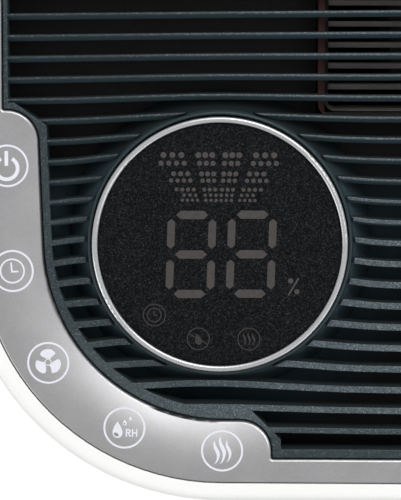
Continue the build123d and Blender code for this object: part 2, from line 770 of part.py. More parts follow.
motor_back = scroll_front_y - 0.2
motor_front = motor_back - motor_length
with BuildPart() as fan_motor:
    add(rod((fan_x, motor_front, fan_z), (fan_x, motor_back, fan_z), motor_radius))
    fillet(fan_motor.faces().sort_by(Axis.Y)[0].edges(), 6.0)
    add(rod((fan_x, motor_back - 3.0, fan_z), (fan_x, motor_back, fan_z), motor_radius + 8.0))
    add(rod((fan_x, motor_front - 5.0, fan_z), (fan_x, motor_front + 4.0, fan_z), 11.0))
    tunnel = rod((fan_x, motor_front - 3, fan_z), (fan_x, 1, fan_z), shaft_radius + turn_clearance)
    add(tunnel, mode=Mode.SUBTRACT)
save(fan_motor, "fan_motor")

with BuildPart() as motor_shaft:
    add(rod((fan_x, motor_front - 2.5, fan_z), (fan_x, wheel_front + 11.5, fan_z), shaft_radius))
save(motor_shaft, "motor_shaft")

# Compressor on rubber grommets.
can_top = foot_top + 3.0 + compressor_height
with BuildPart() as compressor:
    add(drum(compressor_x, compressor_y, compressor_radius, foot_top + 1.5, can_top))
    fillet(compressor.faces().sort_by(Axis.Z)[-1].edges(), 22.0)
    with BuildSketch(Plane.XY.offset(foot_top)):
        for x, y in foot_places:
            with Locations((x, y)):
                Circle(grommet_radius + 2.0)
        make_hull()
    extrude(amount=3.0)
    for x, y in foot_places:
        add(drum(x, y, grommet_radius - 3.0, foot_top, foot_top + 3.0), mode=Mode.SUBTRACT)
save(compressor, "compressor")

with BuildPart() as compressor_grommets:
    for x, y in foot_places:
        add(drum(x, y, grommet_radius, base_z + base_floor, foot_top))
        add(drum(x, y, grommet_radius - 3.4, foot_top, foot_top + 4.0))
        add(drum(x, y, 2.7, base_z + base_floor, foot_top + 4.0), mode=Mode.SUBTRACT)
save(compressor_grommets, "compressor_grommets")


def fin_stack(y):
    """Row of upright fins with holes for the tube passes."""
    step = (coil_width - fin_thickness) / (fin_count - 1)
    places = [-coil_width / 2 + step * index for index in range(fin_count)]
    with BuildPart() as fins:
        with BuildSketch(*[Plane.YZ.offset(x) for x in places]):
            with Locations((y, fin_bottom + coil_height / 2)):
                Rectangle(coil_depth, coil_height)
            with Locations(*[(y, z) for z in pass_heights]):
                Circle(coil_tube + 0.1, mode=Mode.SUBTRACT)
        extrude(amount=fin_thickness)
    return fins.part


def bent_tube(points, bend, radius):
    """Round tube along straight runs with rounded bends."""
    with BuildPart() as tube:
        with BuildLine():
            path = FilletPolyline(*points, radius=bend)
        with BuildSketch(Plane(origin=path @ 0, z_dir=path % 0)):
            Circle(radius)
        sweep(path=path)
    return tube.part


def coil_points(y):
    """Tube that passes through the fins from side to side and starts and ends on the left."""
    turn_x = coil_width / 2 + 13.0
    points = [(coil_end_x, y, pass_heights[0])]
    for row, z in enumerate(pass_heights):
        leaving = turn_x if row % 2 == 0 else -turn_x
        if row > 0:
            points.append((-leaving, y, z))
        if row < coil_passes - 1:
            points.append((leaving, y, z))
    points.append((coil_end_x, y, pass_heights[-1]))
    return points


coil_bend = pass_pitch / 2 - 0.5
with BuildPart() as evaporator_fins:
    add(fin_stack(evaporator_y))
save(evaporator_fins, "evaporator_fins")

with BuildPart() as evaporator_coil:
    add(bent_tube(coil_points(evaporator_y), coil_bend, coil_tube))
save(evaporator_coil, "evaporator_coil")

with BuildPart() as condenser_fins:
    add(fin_stack(condenser_y))
save(condenser_fins, "condenser_fins")

with BuildPart() as condenser_coil:
    add(bent_tube(coil_points(condenser_y), coil_bend, coil_tube))
save(condenser_coil, "condenser_coil")

pipe_start = coil_end_x - 0.1
hot_x, hot_y = pipe_holes[0]
cold_x, cold_y = pipe_holes[1]
top_pass = pass_heights[-1]
low_pass = pass_heights[0]
with BuildPart() as discharge_pipe:
    run = [
        (pipe_start, hot_y, top_pass),
        (hot_x, hot_y, top_pass),
        (hot_x, hot_y, can_top + 9.0),
        (compressor_x, compressor_y, can_top + 9.0),
        (compressor_x, compressor_y, can_top + 0.1),
    ]
    add(bent_tube(run, 7.0, pipe_radius))
save(discharge_pipe, "discharge_pipe")

with BuildPart() as suction_pipe:
    inward = Vector(compressor_x - cold_x, compressor_y - cold_y, 0).normalized()
    port = Vector(compressor_x, compressor_y, 140.0) - inward * (compressor_radius + 0.1)
    run = [
        (pipe_start, cold_y, top_pass),
        (cold_x, cold_y, top_pass),
        (cold_x, cold_y, 140.0),
        (port.X, port.Y, 140.0),
    ]
    add(bent_tube(run, 7.0, pipe_radius))
save(suction_pipe, "suction_pipe")

with BuildPart() as capillary_tube:
    run = [
        (pipe_start, condenser_y, low_pass),
        (pipe_start - 7.0, condenser_y, low_pass),
        (pipe_start - 7.0, evaporator_y, low_pass),
        (pipe_start, evaporator_y, low_pass),
    ]
    add(bent_tube(run, 6.0, capillary_radius))
save(capillary_tube, "capillary_tube")

# Drip tray under both coils, with a chute to the tank and a drain spout at the back.
tray_x = (-coil_width / 2 - 17.0, coil_width / 2 + 17.0)
tray_y = (condenser_y - coil_depth / 2 - 3.5, evaporator_y + coil_depth / 2 + 3.0)
tray_z = (tray_bottom, tray_bottom + tray_height)
chute = (chute_x - chute_width / 2, chute_x + chute_width / 2)
chute_y = (drip_y - 9.0, tray_y[0] + 1.0)
spout_end = half_depth - 3.5
with BuildPart() as drip_tray:
    add(block(tray_x, tray_y, tray_z))
    add(block(chute, chute_y, (tray_bottom, tray_bottom + 10.0)))
    add(drum(chute_x, drip_y, 6.0, tank_top_z + lid_thickness + 2.0, tray_floor))
    add(rod((0, tray_y[1] - 1.0, spout_z), (0, spout_end, spout_z), spout_bore + 0.8))
    add(rod((0, recess_y + seam, spout_z), (0, spout_end, spout_z), spout_radius))
    basin_x = (tray_x[0] + tray_wall, tray_x[1] - tray_wall)
    basin_y = (tray_y[0] + tray_wall, tray_y[1] - tray_wall)
    add(block(basin_x, basin_y, (tray_floor, tray_z[1] + 1.0)), mode=Mode.SUBTRACT)
    tube_way = (tray_x[0] - 1.0, basin_x[0])
    add(block(tube_way, basin_y, (low_pass - coil_tube - 2.0, tray_z[1] + 1.0)), mode=Mode.SUBTRACT)
    trough_x = (chute[0] + tray_wall, chute[1] - tray_wall)
    trough_y = (chute_y[0] + tray_wall, basin_y[0] + 1.0)
    add(block(trough_x, trough_y, (tray_floor, tray_z[1])), mode=Mode.SUBTRACT)
    add(drum(chute_x, drip_y, 4.0, tank_top_z, tray_floor + 1.0), mode=Mode.SUBTRACT)
    drain = rod((0, basin_y[1] - 1.0, spout_z), (0, spout_end + 1.0, spout_z), spout_bore)
    add(drain, mode=Mode.SUBTRACT)
save(drip_tray, "drip_tray")

with BuildPart() as drain_bung:
    head_y = spout_end + 0.1
    add(rod((0, head_y, spout_z), (0, half_depth - 0.4, spout_z), spout_radius - 0.2))
    add(rod((0, head_y - 8.0, spout_z), (0, head_y, spout_z), spout_bore - turn_clearance))
save(drain_bung, "drain_bung")

# Water tank, which slides out at the front with its panel, lid, carrying bail and float.
tank_bottom = rim_z + slip
tank_inset = wall + tank_gap
lid_z = tank_top_z + 0.2
lid_top = lid_z + lid_thickness
panel_top = chassis_z - 3.0


def tank_outline(inset):
    """Plan of the tank: the body outline cut off flat at the back."""
    with BuildSketch() as outline:
        add(body_outline(tank_inset + inset))
        with Locations((0, tank_back_y - inset - half_depth)):
            Rectangle(2 * body_width, 2 * half_depth, mode=Mode.INTERSECT)
    return outline.sketch


with BuildPart() as tank_body:
    add(prism(tank_outline(0.0), tank_bottom, tank_top_z))
    add(prism(tank_outline(tank_wall), tank_bottom + tank_wall, tank_top_z), mode=Mode.SUBTRACT)
save(tank_body, "tank_body")

with BuildPart() as tank_panel:
    add(prism(body_outline() - body_outline(wall), tank_bottom, panel_top))
    add(block(across_body, front_limit, (0.0, deck_z)), mode=Mode.INTERSECT)
    notch_x = (-panel_notch_width / 2, panel_notch_width / 2)
    notch_z = (panel_top - panel_notch_height, panel_top + 1.0)
    add(block(notch_x, (-half_depth - 1.0, -half_depth + wall + 1.0), notch_z), mode=Mode.SUBTRACT)
    notch_edges = tank_panel.edges().filter_by(Axis.Y)
    fillet(notch_edges.filter_by_position(Axis.Z, notch_z[0] - 0.1, notch_z[0] + 0.1), 8.0)
save(tank_panel, "tank_panel")

lug_x = bail_half_width + 6.0
float_lug_x = float_width / 2 + 2.1
float_pin_z = lid_z - 8.0
with BuildPart() as tank_lid:
    add(prism(tank_outline(0.2), lid_z, lid_top))
    add(drum(chute_x, drip_y, 9.0, lid_z, lid_top), mode=Mode.SUBTRACT)
    for side in (-1, 1):
        lug = sorted((side * (lug_x - 2.0), side * (lug_x + 2.0)))
        add(block(lug, (bail_y - 5.0, bail_y + 5.0), (lid_top - 1.0, bail_z + 4.5)))
        hanger = sorted((side * (float_lug_x - 1.5), side * (float_lug_x + 1.5)))
        add(block(hanger, (float_y - 5.0, float_y + 5.0), (float_pin_z - 4.5, lid_z + 1.0)))
    bail_hole = bail_radius + turn_clearance
    add(rod((-lug_x - 5, bail_y, bail_z), (lug_x + 5, bail_y, bail_z), bail_hole), mode=Mode.SUBTRACT)
    pin_hole = float_pin + turn_clearance
    pin_way = rod((-float_lug_x - 5, float_y, float_pin_z), (float_lug_x + 5, float_y, float_pin_z), pin_hole)
    add(pin_way, mode=Mode.SUBTRACT)
save(tank_lid, "tank_lid")

with BuildPart() as tank_bail:
    run = [
        (-lug_x - 4.0, bail_y, bail_z),
        (-bail_half_width, bail_y, bail_z),
        (-bail_half_width, bail_y - bail_reach, bail_z),
        (bail_half_width, bail_y - bail_reach, bail_z),
        (bail_half_width, bail_y, bail_z),
        (lug_x + 4.0, bail_y, bail_z),
    ]
    add(bent_tube(run, 3.5, bail_radius))
save(tank_bail, "tank_bail")

float_back = float_y + 8.0
float_z = (float_pin_z - 52.0, float_pin_z - 8.0)
magnet_z = float_z[0] + 12.0
with BuildPart() as tank_float:
    half = float_width / 2
    add(block((-half, half), (float_y - 8.0, float_back), float_z))
    fillet(tank_float.edges(), 3.0)
    add(block((-half, half), (float_y - 2.5, float_y + 2.5), (float_z[1] - 1.0, float_pin_z + 2.5)))
    reach = float_lug_x + 3.0
    add(rod((-reach, float_y, float_pin_z), (reach, float_y, float_pin_z), float_pin))
    magnet_seat = rod((0, float_back - 3.0, magnet_z), (0, float_back + 1.0, magnet_z), 5.0)
    add(magnet_seat, mode=Mode.SUBTRACT)
save(tank_float, "tank_float")

with BuildPart() as float_magnet:
    add(rod((0, float_back - 2.9, magnet_z), (0, float_back, magnet_z), 4.9))
save(float_magnet, "float_magnet")

bay_y = partition_y + wall
with BuildPart() as level_sensor:
    add(block((-10.0, 10.0), (bay_y + 0.1, bay_y + 8.0), (magnet_z - 9.0, magnet_z + 9.0)))
    fillet(level_sensor.edges().filter_by(Axis.Y), 2.0)
save(level_sensor, "level_sensor")

# Control electronics beside the compressor.
box_x = (30.0, 136.0)
box_y = (bay_y + 0.2, bay_y + 46.0)
box_z = (66.0, 200.0)
circuit_y = box_y[0] + 10.0
with BuildPart() as control_box:
    add(block(box_x, box_y, box_z))
    hollow_x = (box_x[0] + 2.0, box_x[1] - 2.0)
    hollow_z = (box_z[0] + 2.0, box_z[1] - 2.0)
    add(block(hollow_x, (box_y[0] + 2.0, box_y[1] + 1.0), hollow_z), mode=Mode.SUBTRACT)
    for x in (box_x[0] + 10.0, box_x[1] - 10.0):
        for z in (box_z[0] + 10.0, box_z[1] - 10.0):
            add(rod((x, box_y[0] + 1.0, z), (x, circuit_y, z), 4.0))
save(control_box, "control_box")

with BuildPart() as main_board:
    board_x = (box_x[0] + 4.0, box_x[1] - 4.0)
    add(block(board_x, (circuit_y, circuit_y + board_thickness), (box_z[0] + 4.0, box_z[1] - 4.0)))
save(main_board, "main_board")

part_y = circuit_y + board_thickness
with BuildPart() as board_parts:
    add(rod((box_x[0] + 26.0, part_y, 170.0), (box_x[0] + 26.0, part_y + 28.0, 170.0), 13.0))
    add(block((box_x[0] + 50.0, box_x[0] + 90.0), (part_y, part_y + 26.0), (150.0, 186.0)))
    for step in range(3):
        low = box_z[0] + 14.0 + 22.0 * step
        add(block((box_x[0] + 12.0, box_x[0] + 30.0), (part_y, part_y + 15.0), (low, low + 16.0)))
    add(block((box_x[0] + 50.0, box_x[0] + 62.0), (part_y, part_y + 24.0), (80.0, 130.0)))
save(board_parts, "board_parts")

# Four swivel castors, each with a fork on a stem and a wheel on its own axle stubs.
fork_top = base_z - slip
crown_z = 2 * castor_radius + 2.5
cheek_in = castor_width / 2 + 0.8
cheek_out = cheek_in + castor_cheek


def castor_fork(x, y):
    """Fork with crown, two cheeks and the upright stem."""
    axle_y = y + castor_trail
    with BuildPart() as fork:
        with BuildSketch(Plane.YZ.offset(x - cheek_out)):
            with Locations((axle_y, castor_radius)):
                Circle(6.0)
            with Locations((y + 3.0, (crown_z + fork_top) / 2)):
                Rectangle(30.0, fork_top - crown_z)
            make_hull()
        extrude(amount=2 * cheek_out)
        inner = (x - cheek_in, x + cheek_in)
        add(block(inner, (y - 40, y + 60), (0.0, crown_z)), mode=Mode.SUBTRACT)
        add(drum(x, y, stem_radius, fork_top - 1.0, base_z + stem_length))
        axle_hole = castor_pin + turn_clearance
        axle = rod((x - 20, axle_y, castor_radius), (x + 20, axle_y, castor_radius), axle_hole)
        add(axle, mode=Mode.SUBTRACT)
    return fork.part


def castor_wheel(x, y):
    """Wheel with axle stubs that run in the cheeks."""
    axle_y = y + castor_trail
    half = castor_width / 2
    with BuildPart() as wheel:
        add(rod((x - half, axle_y, castor_radius), (x + half, axle_y, castor_radius), castor_radius))
        fillet(wheel.edges(), 2.0)
        reach = cheek_out - 0.2
        add(rod((x - reach, axle_y, castor_radius), (x + reach, axle_y, castor_radius), castor_pin))
    return wheel.part


with BuildPart() as castor_fork_front_left:
    add(castor_fork(*castor_places["front_left"]))
save(castor_fork_front_left, "castor_fork_front_left")

with BuildPart() as castor_fork_front_right:
    add(castor_fork(*castor_places["front_right"]))
save(castor_fork_front_right, "castor_fork_front_right")

with BuildPart() as castor_fork_rear_left:
    add(castor_fork(*castor_places["rear_left"]))
save(castor_fork_rear_left, "castor_fork_rear_left")

with BuildPart() as castor_fork_rear_right:
    add(castor_fork(*castor_places["rear_right"]))
save(castor_fork_rear_right, "castor_fork_rear_right")

with BuildPart() as castor_wheel_front_left:
    add(castor_wheel(*castor_places["front_left"]))
save(castor_wheel_front_left, "castor_wheel_front_left")

with BuildPart() as castor_wheel_front_right:
    add(castor_wheel(*castor_places["front_right"]))
save(castor_wheel_front_right, "castor_wheel_front_right")

with BuildPart() as castor_wheel_rear_left:
    add(castor_wheel(*castor_places["rear_left"]))
save(castor_wheel_rear_left, "castor_wheel_rear_left")

with BuildPart() as castor_wheel_rear_right:
    add(castor_wheel(*castor_places["rear_right"]))
save(castor_wheel_rear_right, "castor_wheel_rear_right")
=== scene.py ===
import bpy
import json
import math
from mathutils import Euler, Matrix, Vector


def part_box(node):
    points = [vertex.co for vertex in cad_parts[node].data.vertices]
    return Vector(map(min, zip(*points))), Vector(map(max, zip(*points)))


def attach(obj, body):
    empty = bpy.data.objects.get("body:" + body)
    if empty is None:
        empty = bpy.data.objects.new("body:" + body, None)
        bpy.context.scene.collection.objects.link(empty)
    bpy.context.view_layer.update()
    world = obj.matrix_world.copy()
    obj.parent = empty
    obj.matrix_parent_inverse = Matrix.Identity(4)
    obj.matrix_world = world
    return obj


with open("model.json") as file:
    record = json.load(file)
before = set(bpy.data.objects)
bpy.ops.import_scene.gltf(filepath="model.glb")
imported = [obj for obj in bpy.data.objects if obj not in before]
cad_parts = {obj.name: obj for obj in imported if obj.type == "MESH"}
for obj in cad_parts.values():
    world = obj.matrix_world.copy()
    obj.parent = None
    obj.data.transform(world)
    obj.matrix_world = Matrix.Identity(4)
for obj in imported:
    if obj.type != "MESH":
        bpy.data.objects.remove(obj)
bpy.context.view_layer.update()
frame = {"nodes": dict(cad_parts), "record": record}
nodes = frame["nodes"]
mm = 0.001
bpy.ops.object.select_all(action="DESELECT")
print("frame loaded:", len(nodes), "solids")


# camera over the front left corner of the deck, tipped a little towards the back
shot = {
    "place": (-86.5, 36.7, 1205.0),  # mm
    "pitch": -6.48,  # degrees
    "yaw": 0.87,
    "roll": 0.24,
    "focalPixels": 2348.0,
    "frameHeight": 500.0,  # pixels
    "clip": (0.01, 100.0),  # m
}


def setCamera():
    bpy.ops.object.camera_add(location=[v * mm for v in shot["place"]])
    camera = bpy.context.object
    turn = Euler([math.radians(shot[k]) for k in ("pitch", "yaw", "roll")], "ZYX")
    camera.rotation_euler = turn.to_matrix().to_euler("XYZ")
    camera.data.lens = shot["focalPixels"] / shot["frameHeight"] * camera.data.sensor_width
    camera.data.clip_start, camera.data.clip_end = shot["clip"]
    bpy.context.scene.camera = camera


setCamera()
print("camera set")


# soft studio light: one softbox behind the dryer, two weaker ones in front, even light all round
studio = {
    "softboxes": {  # place and size in m, power in W
        "backSoftbox": ((0.3, 0.865, 1.72), (1.1, 0.7), 16.5),
        "frontSoftbox": ((0.8, -1.0, 1.5), (0.8, 0.8), 4.0),
        "leftSoftbox": ((-1.6, -0.9, 1.0), (1.0, 1.0), 9.0),
    },
    "aim": (-0.05, -0.03, 0.48),
    "skyLevel": 0.52,  # even light on the part
    "backdropLevel": 1.0,  # what is seen behind the part and in its reflections
    "paperLevel": 0.85,
    "paperGlow": 0.55,
    "floorSize": 40.0,
}


def addSoftbox(name, place, size, power):
    bpy.ops.object.light_add(type="AREA", location=place)
    box = bpy.context.object
    box.name = name
    box.data.shape = "RECTANGLE"
    box.data.size, box.data.size_y = size
    box.data.energy = power
    box.rotation_euler = (Vector(studio["aim"]) - box.location).to_track_quat("-Z", "Y").to_euler()


def addSeenMix(tree, unseen, seen):
    # rays from the camera, a reflection or a clear piece meet the second shader, all others the first
    path = tree.nodes.new("ShaderNodeLightPath")
    share = path.outputs["Is Camera Ray"]
    for kind in ("Is Glossy Ray", "Is Transmission Ray"):
        either = tree.nodes.new("ShaderNodeMath")
        either.operation = "MAXIMUM"
        tree.links.new(share, either.inputs[0])
        tree.links.new(path.outputs[kind], either.inputs[1])
        share = either.outputs[0]
    mix = tree.nodes.new("ShaderNodeMixShader")
    tree.links.new(share, mix.inputs[0])
    tree.links.new(unseen, mix.inputs[1])
    tree.links.new(seen, mix.inputs[2])
    return mix.outputs[0]


def addBackground(tree, level):
    light = tree.nodes.new("ShaderNodeBackground")
    light.inputs["Color"].default_value = (1, 1, 1, 1)
    light.inputs["Strength"].default_value = level
    return light.outputs[0]


def setWorld():
    world = bpy.data.worlds.new("paleStudio")
    bpy.context.scene.world = world
    world.use_nodes = True
    tree = world.node_tree
    tree.nodes.clear()
    sky = addBackground(tree, studio["skyLevel"])
    backdrop = addBackground(tree, studio["backdropLevel"])
    out = tree.nodes.new("ShaderNodeOutputWorld")
    tree.links.new(addSeenMix(tree, sky, backdrop), out.inputs[0])


def layFloor():
    bpy.ops.mesh.primitive_plane_add(size=studio["floorSize"], location=(0, 0, 0))
    floor = bpy.context.object
    floor.name = "studioFloor"
    paper = bpy.data.materials.new("whitePaper")
    paper.use_nodes = True
    tree = paper.node_tree
    tree.nodes.clear()
    level = studio["paperLevel"]
    matt = tree.nodes.new("ShaderNodeBsdfDiffuse")
    matt.inputs["Color"].default_value = (level, level, level, 1)
    glow = tree.nodes.new("ShaderNodeEmission")
    glow.inputs["Strength"].default_value = studio["paperGlow"]
    lifted = tree.nodes.new("ShaderNodeAddShader")
    out = tree.nodes.new("ShaderNodeOutputMaterial")
    tree.links.new(matt.outputs[0], lifted.inputs[0])
    tree.links.new(glow.outputs[0], lifted.inputs[1])
    tree.links.new(addSeenMix(tree, matt.outputs[0], lifted.outputs[0]), out.inputs[0])
    floor.data.materials.append(paper)


def setStudio():
    for name, (place, size, power) in studio["softboxes"].items():
        addSoftbox(name, place, size, power)
    setWorld()
    layFloor()
    bpy.context.scene.view_settings.view_transform = "Standard"


setStudio()
print("studio set")


# small helpers for the finishes; sizes and depths are in mm
noiseSpan = (0.3, 0.7)  # most values of a noise lie in here
noiseMiddle = 0.5


def startFinish(name):
    finish = bpy.data.materials.new(name)
    finish.use_nodes = True
    tree = finish.node_tree
    coord = tree.nodes.new("ShaderNodeTexCoord")
    return finish, tree, tree.nodes["Principled BSDF"], coord.outputs["Object"]


def addNoise(tree, coord, size, detail=2.0):
    noise = tree.nodes.new("ShaderNodeTexNoise")
    noise.inputs["Scale"].default_value = 1.0 / (size * mm)
    noise.inputs["Detail"].default_value = detail
    tree.links.new(coord, noise.inputs["Vector"])
    return noise.outputs["Fac"]


def addRichNoise(tree, coord, size):
    return addNoise(tree, coord, size, detail=3.0)


def addRange(tree, value, fromLow, fromHigh, toLow, toHigh, smooth=False):
    spread = tree.nodes.new("ShaderNodeMapRange")
    spread.interpolation_type = "SMOOTHSTEP" if smooth else "LINEAR"
    for socket, number in zip(list(spread.inputs)[1:5], (fromLow, fromHigh, toLow, toHigh)):
        socket.default_value = number
    tree.links.new(value, spread.inputs[0])
    return spread.outputs[0]


def addSpan(tree, value, span, smooth=False):
    # 0 up to the start of a span in mm, 1 from its end on
    start, end = span
    return addRange(tree, value, start * mm, end * mm, 0, 1, smooth)


def addGloss(tree, noise, gloss):
    return addRange(tree, noise, *noiseSpan, *gloss)


def addMath(tree, how, first, second=0.0):
    sums = tree.nodes.new("ShaderNodeMath")
    sums.operation = how
    for socket, value in zip(sums.inputs, (first, second)):
        if isinstance(value, (int, float)):
            socket.default_value = value
        else:
            tree.links.new(value, socket)
    return sums.outputs[0]


def addRamp(tree, value, places, colours):
    ramp = tree.nodes.new("ShaderNodeValToRGB")
    marks = ramp.color_ramp.elements
    while len(marks) < len(places):
        marks.new(0.5)
    for mark, place, colour in zip(marks, places, colours):
        mark.position = place
        mark.color = (*colour, 1)
    tree.links.new(value, ramp.inputs[0])
    return ramp.outputs[0]


def shade(colour, level):
    return tuple(min(c * level, 1.0) for c in colour)


def addShades(tree, noise, colour, levels):
    # from a darker to a paler shade of one colour
    return addRamp(tree, noise, noiseSpan, [shade(colour, level) for level in levels])


def addBump(tree, height, depth, strength=1.0, under=None):
    bump = tree.nodes.new("ShaderNodeBump")
    bump.inputs["Distance"].default_value = depth * mm
    bump.inputs["Strength"].default_value = strength
    tree.links.new(height, bump.inputs["Height"])
    if under is not None:
        tree.links.new(under, bump.inputs["Normal"])
    return bump.outputs[0]


def addMix(tree, share, first, second):
    mix = tree.nodes.new("ShaderNodeMix")
    mix.data_type = "RGBA"
    tree.links.new(share, mix.inputs["Factor"])
    tree.links.new(first, mix.inputs[6])  # 6 and 7 are the colour sockets
    tree.links.new(second, mix.inputs[7])
    return mix.outputs[2]


def addSplit(tree, vector):
    split = tree.nodes.new("ShaderNodeSeparateXYZ")
    tree.links.new(vector, split.inputs[0])
    return split.outputs


def planReach(tree, coord, centre):
    # distance from an upright axis, in metres
    flat = tree.nodes.new("ShaderNodeMapping")
    flat.inputs["Scale"].default_value = (1, 1, 0)
    tree.links.new(coord, flat.inputs["Vector"])
    reach = tree.nodes.new("ShaderNodeVectorMath")
    reach.operation = "DISTANCE"
    reach.inputs[1].default_value = (centre[0] * mm, centre[1] * mm, 0)
    tree.links.new(flat.outputs[0], reach.inputs[0])
    return reach.outputs["Value"]


def addGrain(tree, shader, coord, grain, depth, gloss):
    # grained surface with an uneven gloss
    grains = addNoise(tree, coord, grain)
    tree.links.new(addGloss(tree, grains, gloss), shader.inputs["Roughness"])
    tree.links.new(addBump(tree, grains, depth), shader.inputs["Normal"])


# moulded or cast finish: cloudy colour, grained surface, uneven gloss
def mouldedFinish(name, colour, cloud, cloudSize, grain, depth, gloss, metal=0.0, specular=0.5):
    finish, tree, shader, coord = startFinish(name)
    clouds = addRichNoise(tree, coord, cloudSize)
    shades = addShades(tree, clouds, colour, (1.0 - cloud, 1.0 + cloud))
    tree.links.new(shades, shader.inputs["Base Color"])
    addGrain(tree, shader, coord, grain, depth, gloss)
    shader.inputs["Metallic"].default_value = metal
    shader.inputs["Specular IOR Level"].default_value = specular
    return finish


# silver paint of the fascia: fine metal flake, and the soft turn-down towards the grille
silverPaint = {
    "colour": (0.274, 0.273, 0.279),
    "shades": (0.86, 1.16),
    "flake": 0.22,  # mm
    "flakeShare": 0.7,
    "flakeDepth": 0.01,
    "flakeStrength": 0.6,
    "cloud": 9.0,
    "cloudShare": 0.3,
    "gloss": (0.32, 0.42),
    "bandCentre": (-90.4, -40.5),
    "bandRadius": 54.1,
    "turnWidth": 17.0,
    "turnDepth": 5.6,
    "turnFall": (-0.8, -0.6),  # shares of the depth, where the turn starts and beside the grille
    "lacquerGloss": 0.34,
}


def silverFinish():
    look = silverPaint
    finish, tree, shader, coord = startFinish("silverPaint")
    flakes = addNoise(tree, coord, look["flake"])
    clouds = addRichNoise(tree, coord, look["cloud"])
    flakePart = addMath(tree, "MULTIPLY", flakes, look["flakeShare"])
    cloudPart = addMath(tree, "MULTIPLY", clouds, look["cloudShare"])
    base = look["colour"]
    low, high = look["shades"]
    places = (noiseSpan[0], noiseMiddle, noiseSpan[1])
    colours = (shade(base, low), base, shade(base, high))
    paint = addRamp(tree, addMath(tree, "ADD", flakePart, cloudPart), places, colours)
    tree.links.new(paint, shader.inputs["Base Color"])
    tree.links.new(addGloss(tree, flakes, look["gloss"]), shader.inputs["Roughness"])
    shader.inputs["Metallic"].default_value = 1.0

    inner = look["bandRadius"] * mm
    outer = inner + look["turnWidth"] * mm
    fromMiddle = planReach(tree, coord, look["bandCentre"])
    reach = addRange(tree, fromMiddle, inner, outer, 1.0, 0.0)
    fall = addRange(tree, reach, 0.0, 1.0, *look["turnFall"])
    sag = addMath(tree, "MULTIPLY", addMath(tree, "MULTIPLY", reach, reach), fall)
    turned = addBump(tree, sag, look["turnDepth"])
    flaked = addBump(tree, flakes, look["flakeDepth"], look["flakeStrength"], turned)
    tree.links.new(flaked, shader.inputs["Normal"])
    tree.links.new(turned, shader.inputs["Coat Normal"])
    shader.inputs["Coat Weight"].default_value = 1.0
    shader.inputs["Coat Roughness"].default_value = look["lacquerGloss"]
    return finish


# dark grille plastic: grained level tops, smooth dark walls in the slots, a collar round the display painted
# darker as painted shade; the tops are painted paler towards the right as painted light and the slats' backs
# nearly black as painted shade
grillePlastic = {
    "grain": 0.35,  # mm
    "grainDepth": 0.08,
    "grainStrength": 0.8,
    "grainPlaces": (0.32, 0.5, 0.6, 0.72),  # noise values of dark, base, pale and speck
    "colour": (0.0105, 0.0175, 0.0205),
    "shades": (0.35, 2.1),
    "speck": (0.12, 0.14, 0.145),
    # painted light: a paler copy of the top colour, mixed in towards the right
    "litColour": (0.045, 0.06, 0.068),
    "litShades": (0.45, 1.7),
    "litSpeck": (0.24, 0.265, 0.265),
    "paintedLightWidth": (-122.0, -62.0),  # painted light: the tops are painted paler from left to right
    "paintedLightFront": (-100.0, -93.0),  # and painted darker along the front border as painted shade
    "topLevels": (503.9, 504.18),  # from wall to top
    "wallColour": (0.019, 0.035, 0.045),
    "wallShades": (0.8, 1.25),
    "skirtColour": (0.024, 0.043, 0.051),
    "skirtShades": (0.85, 1.2),
    "skirtRadius": (44.0, 50.0),
    # painted shade: walls that face the back are painted nearly black
    "backPaintedShade": (0.003, 0.006, 0.0072),
    "backShades": (0.8, 1.0),
    "backFacing": (0.35, 0.6),  # how far a wall faces the back
    # painted shade: the collar round the display is painted darker
    "collarPaintedShade": (0.013, 0.024, 0.028),
    "collarShades": (0.8, 1.25),
    "displayCentre": (-91.4, -41.0),
    "collarEdge": (39.9, 40.5),  # radius
    "topGloss": (0.34, 0.5),
    "wallDull": 0.3,  # added on the walls
    "backDull": 0.4,  # added on the slats' backs
    "collarGloss": (-0.28, -0.12),  # added on the collar
    "edgeRound": 0.6,
    "edgeSamples": 6,
    "dishRadius": (46.0, 60.0),  # the tops in front of the display dish down towards it
    "dishFront": (-81.0, -61.0),
    "dishDepth": 3.2,
    "specular": 0.4,
    "sheen": (0.84, 0.965, 1.0),
}


def grainedTop(tree, grains, colour, shades, speck):
    low, high = shades
    colours = (shade(colour, low), colour, shade(colour, high), speck)
    return addRamp(tree, grains, grillePlastic["grainPlaces"], colours)


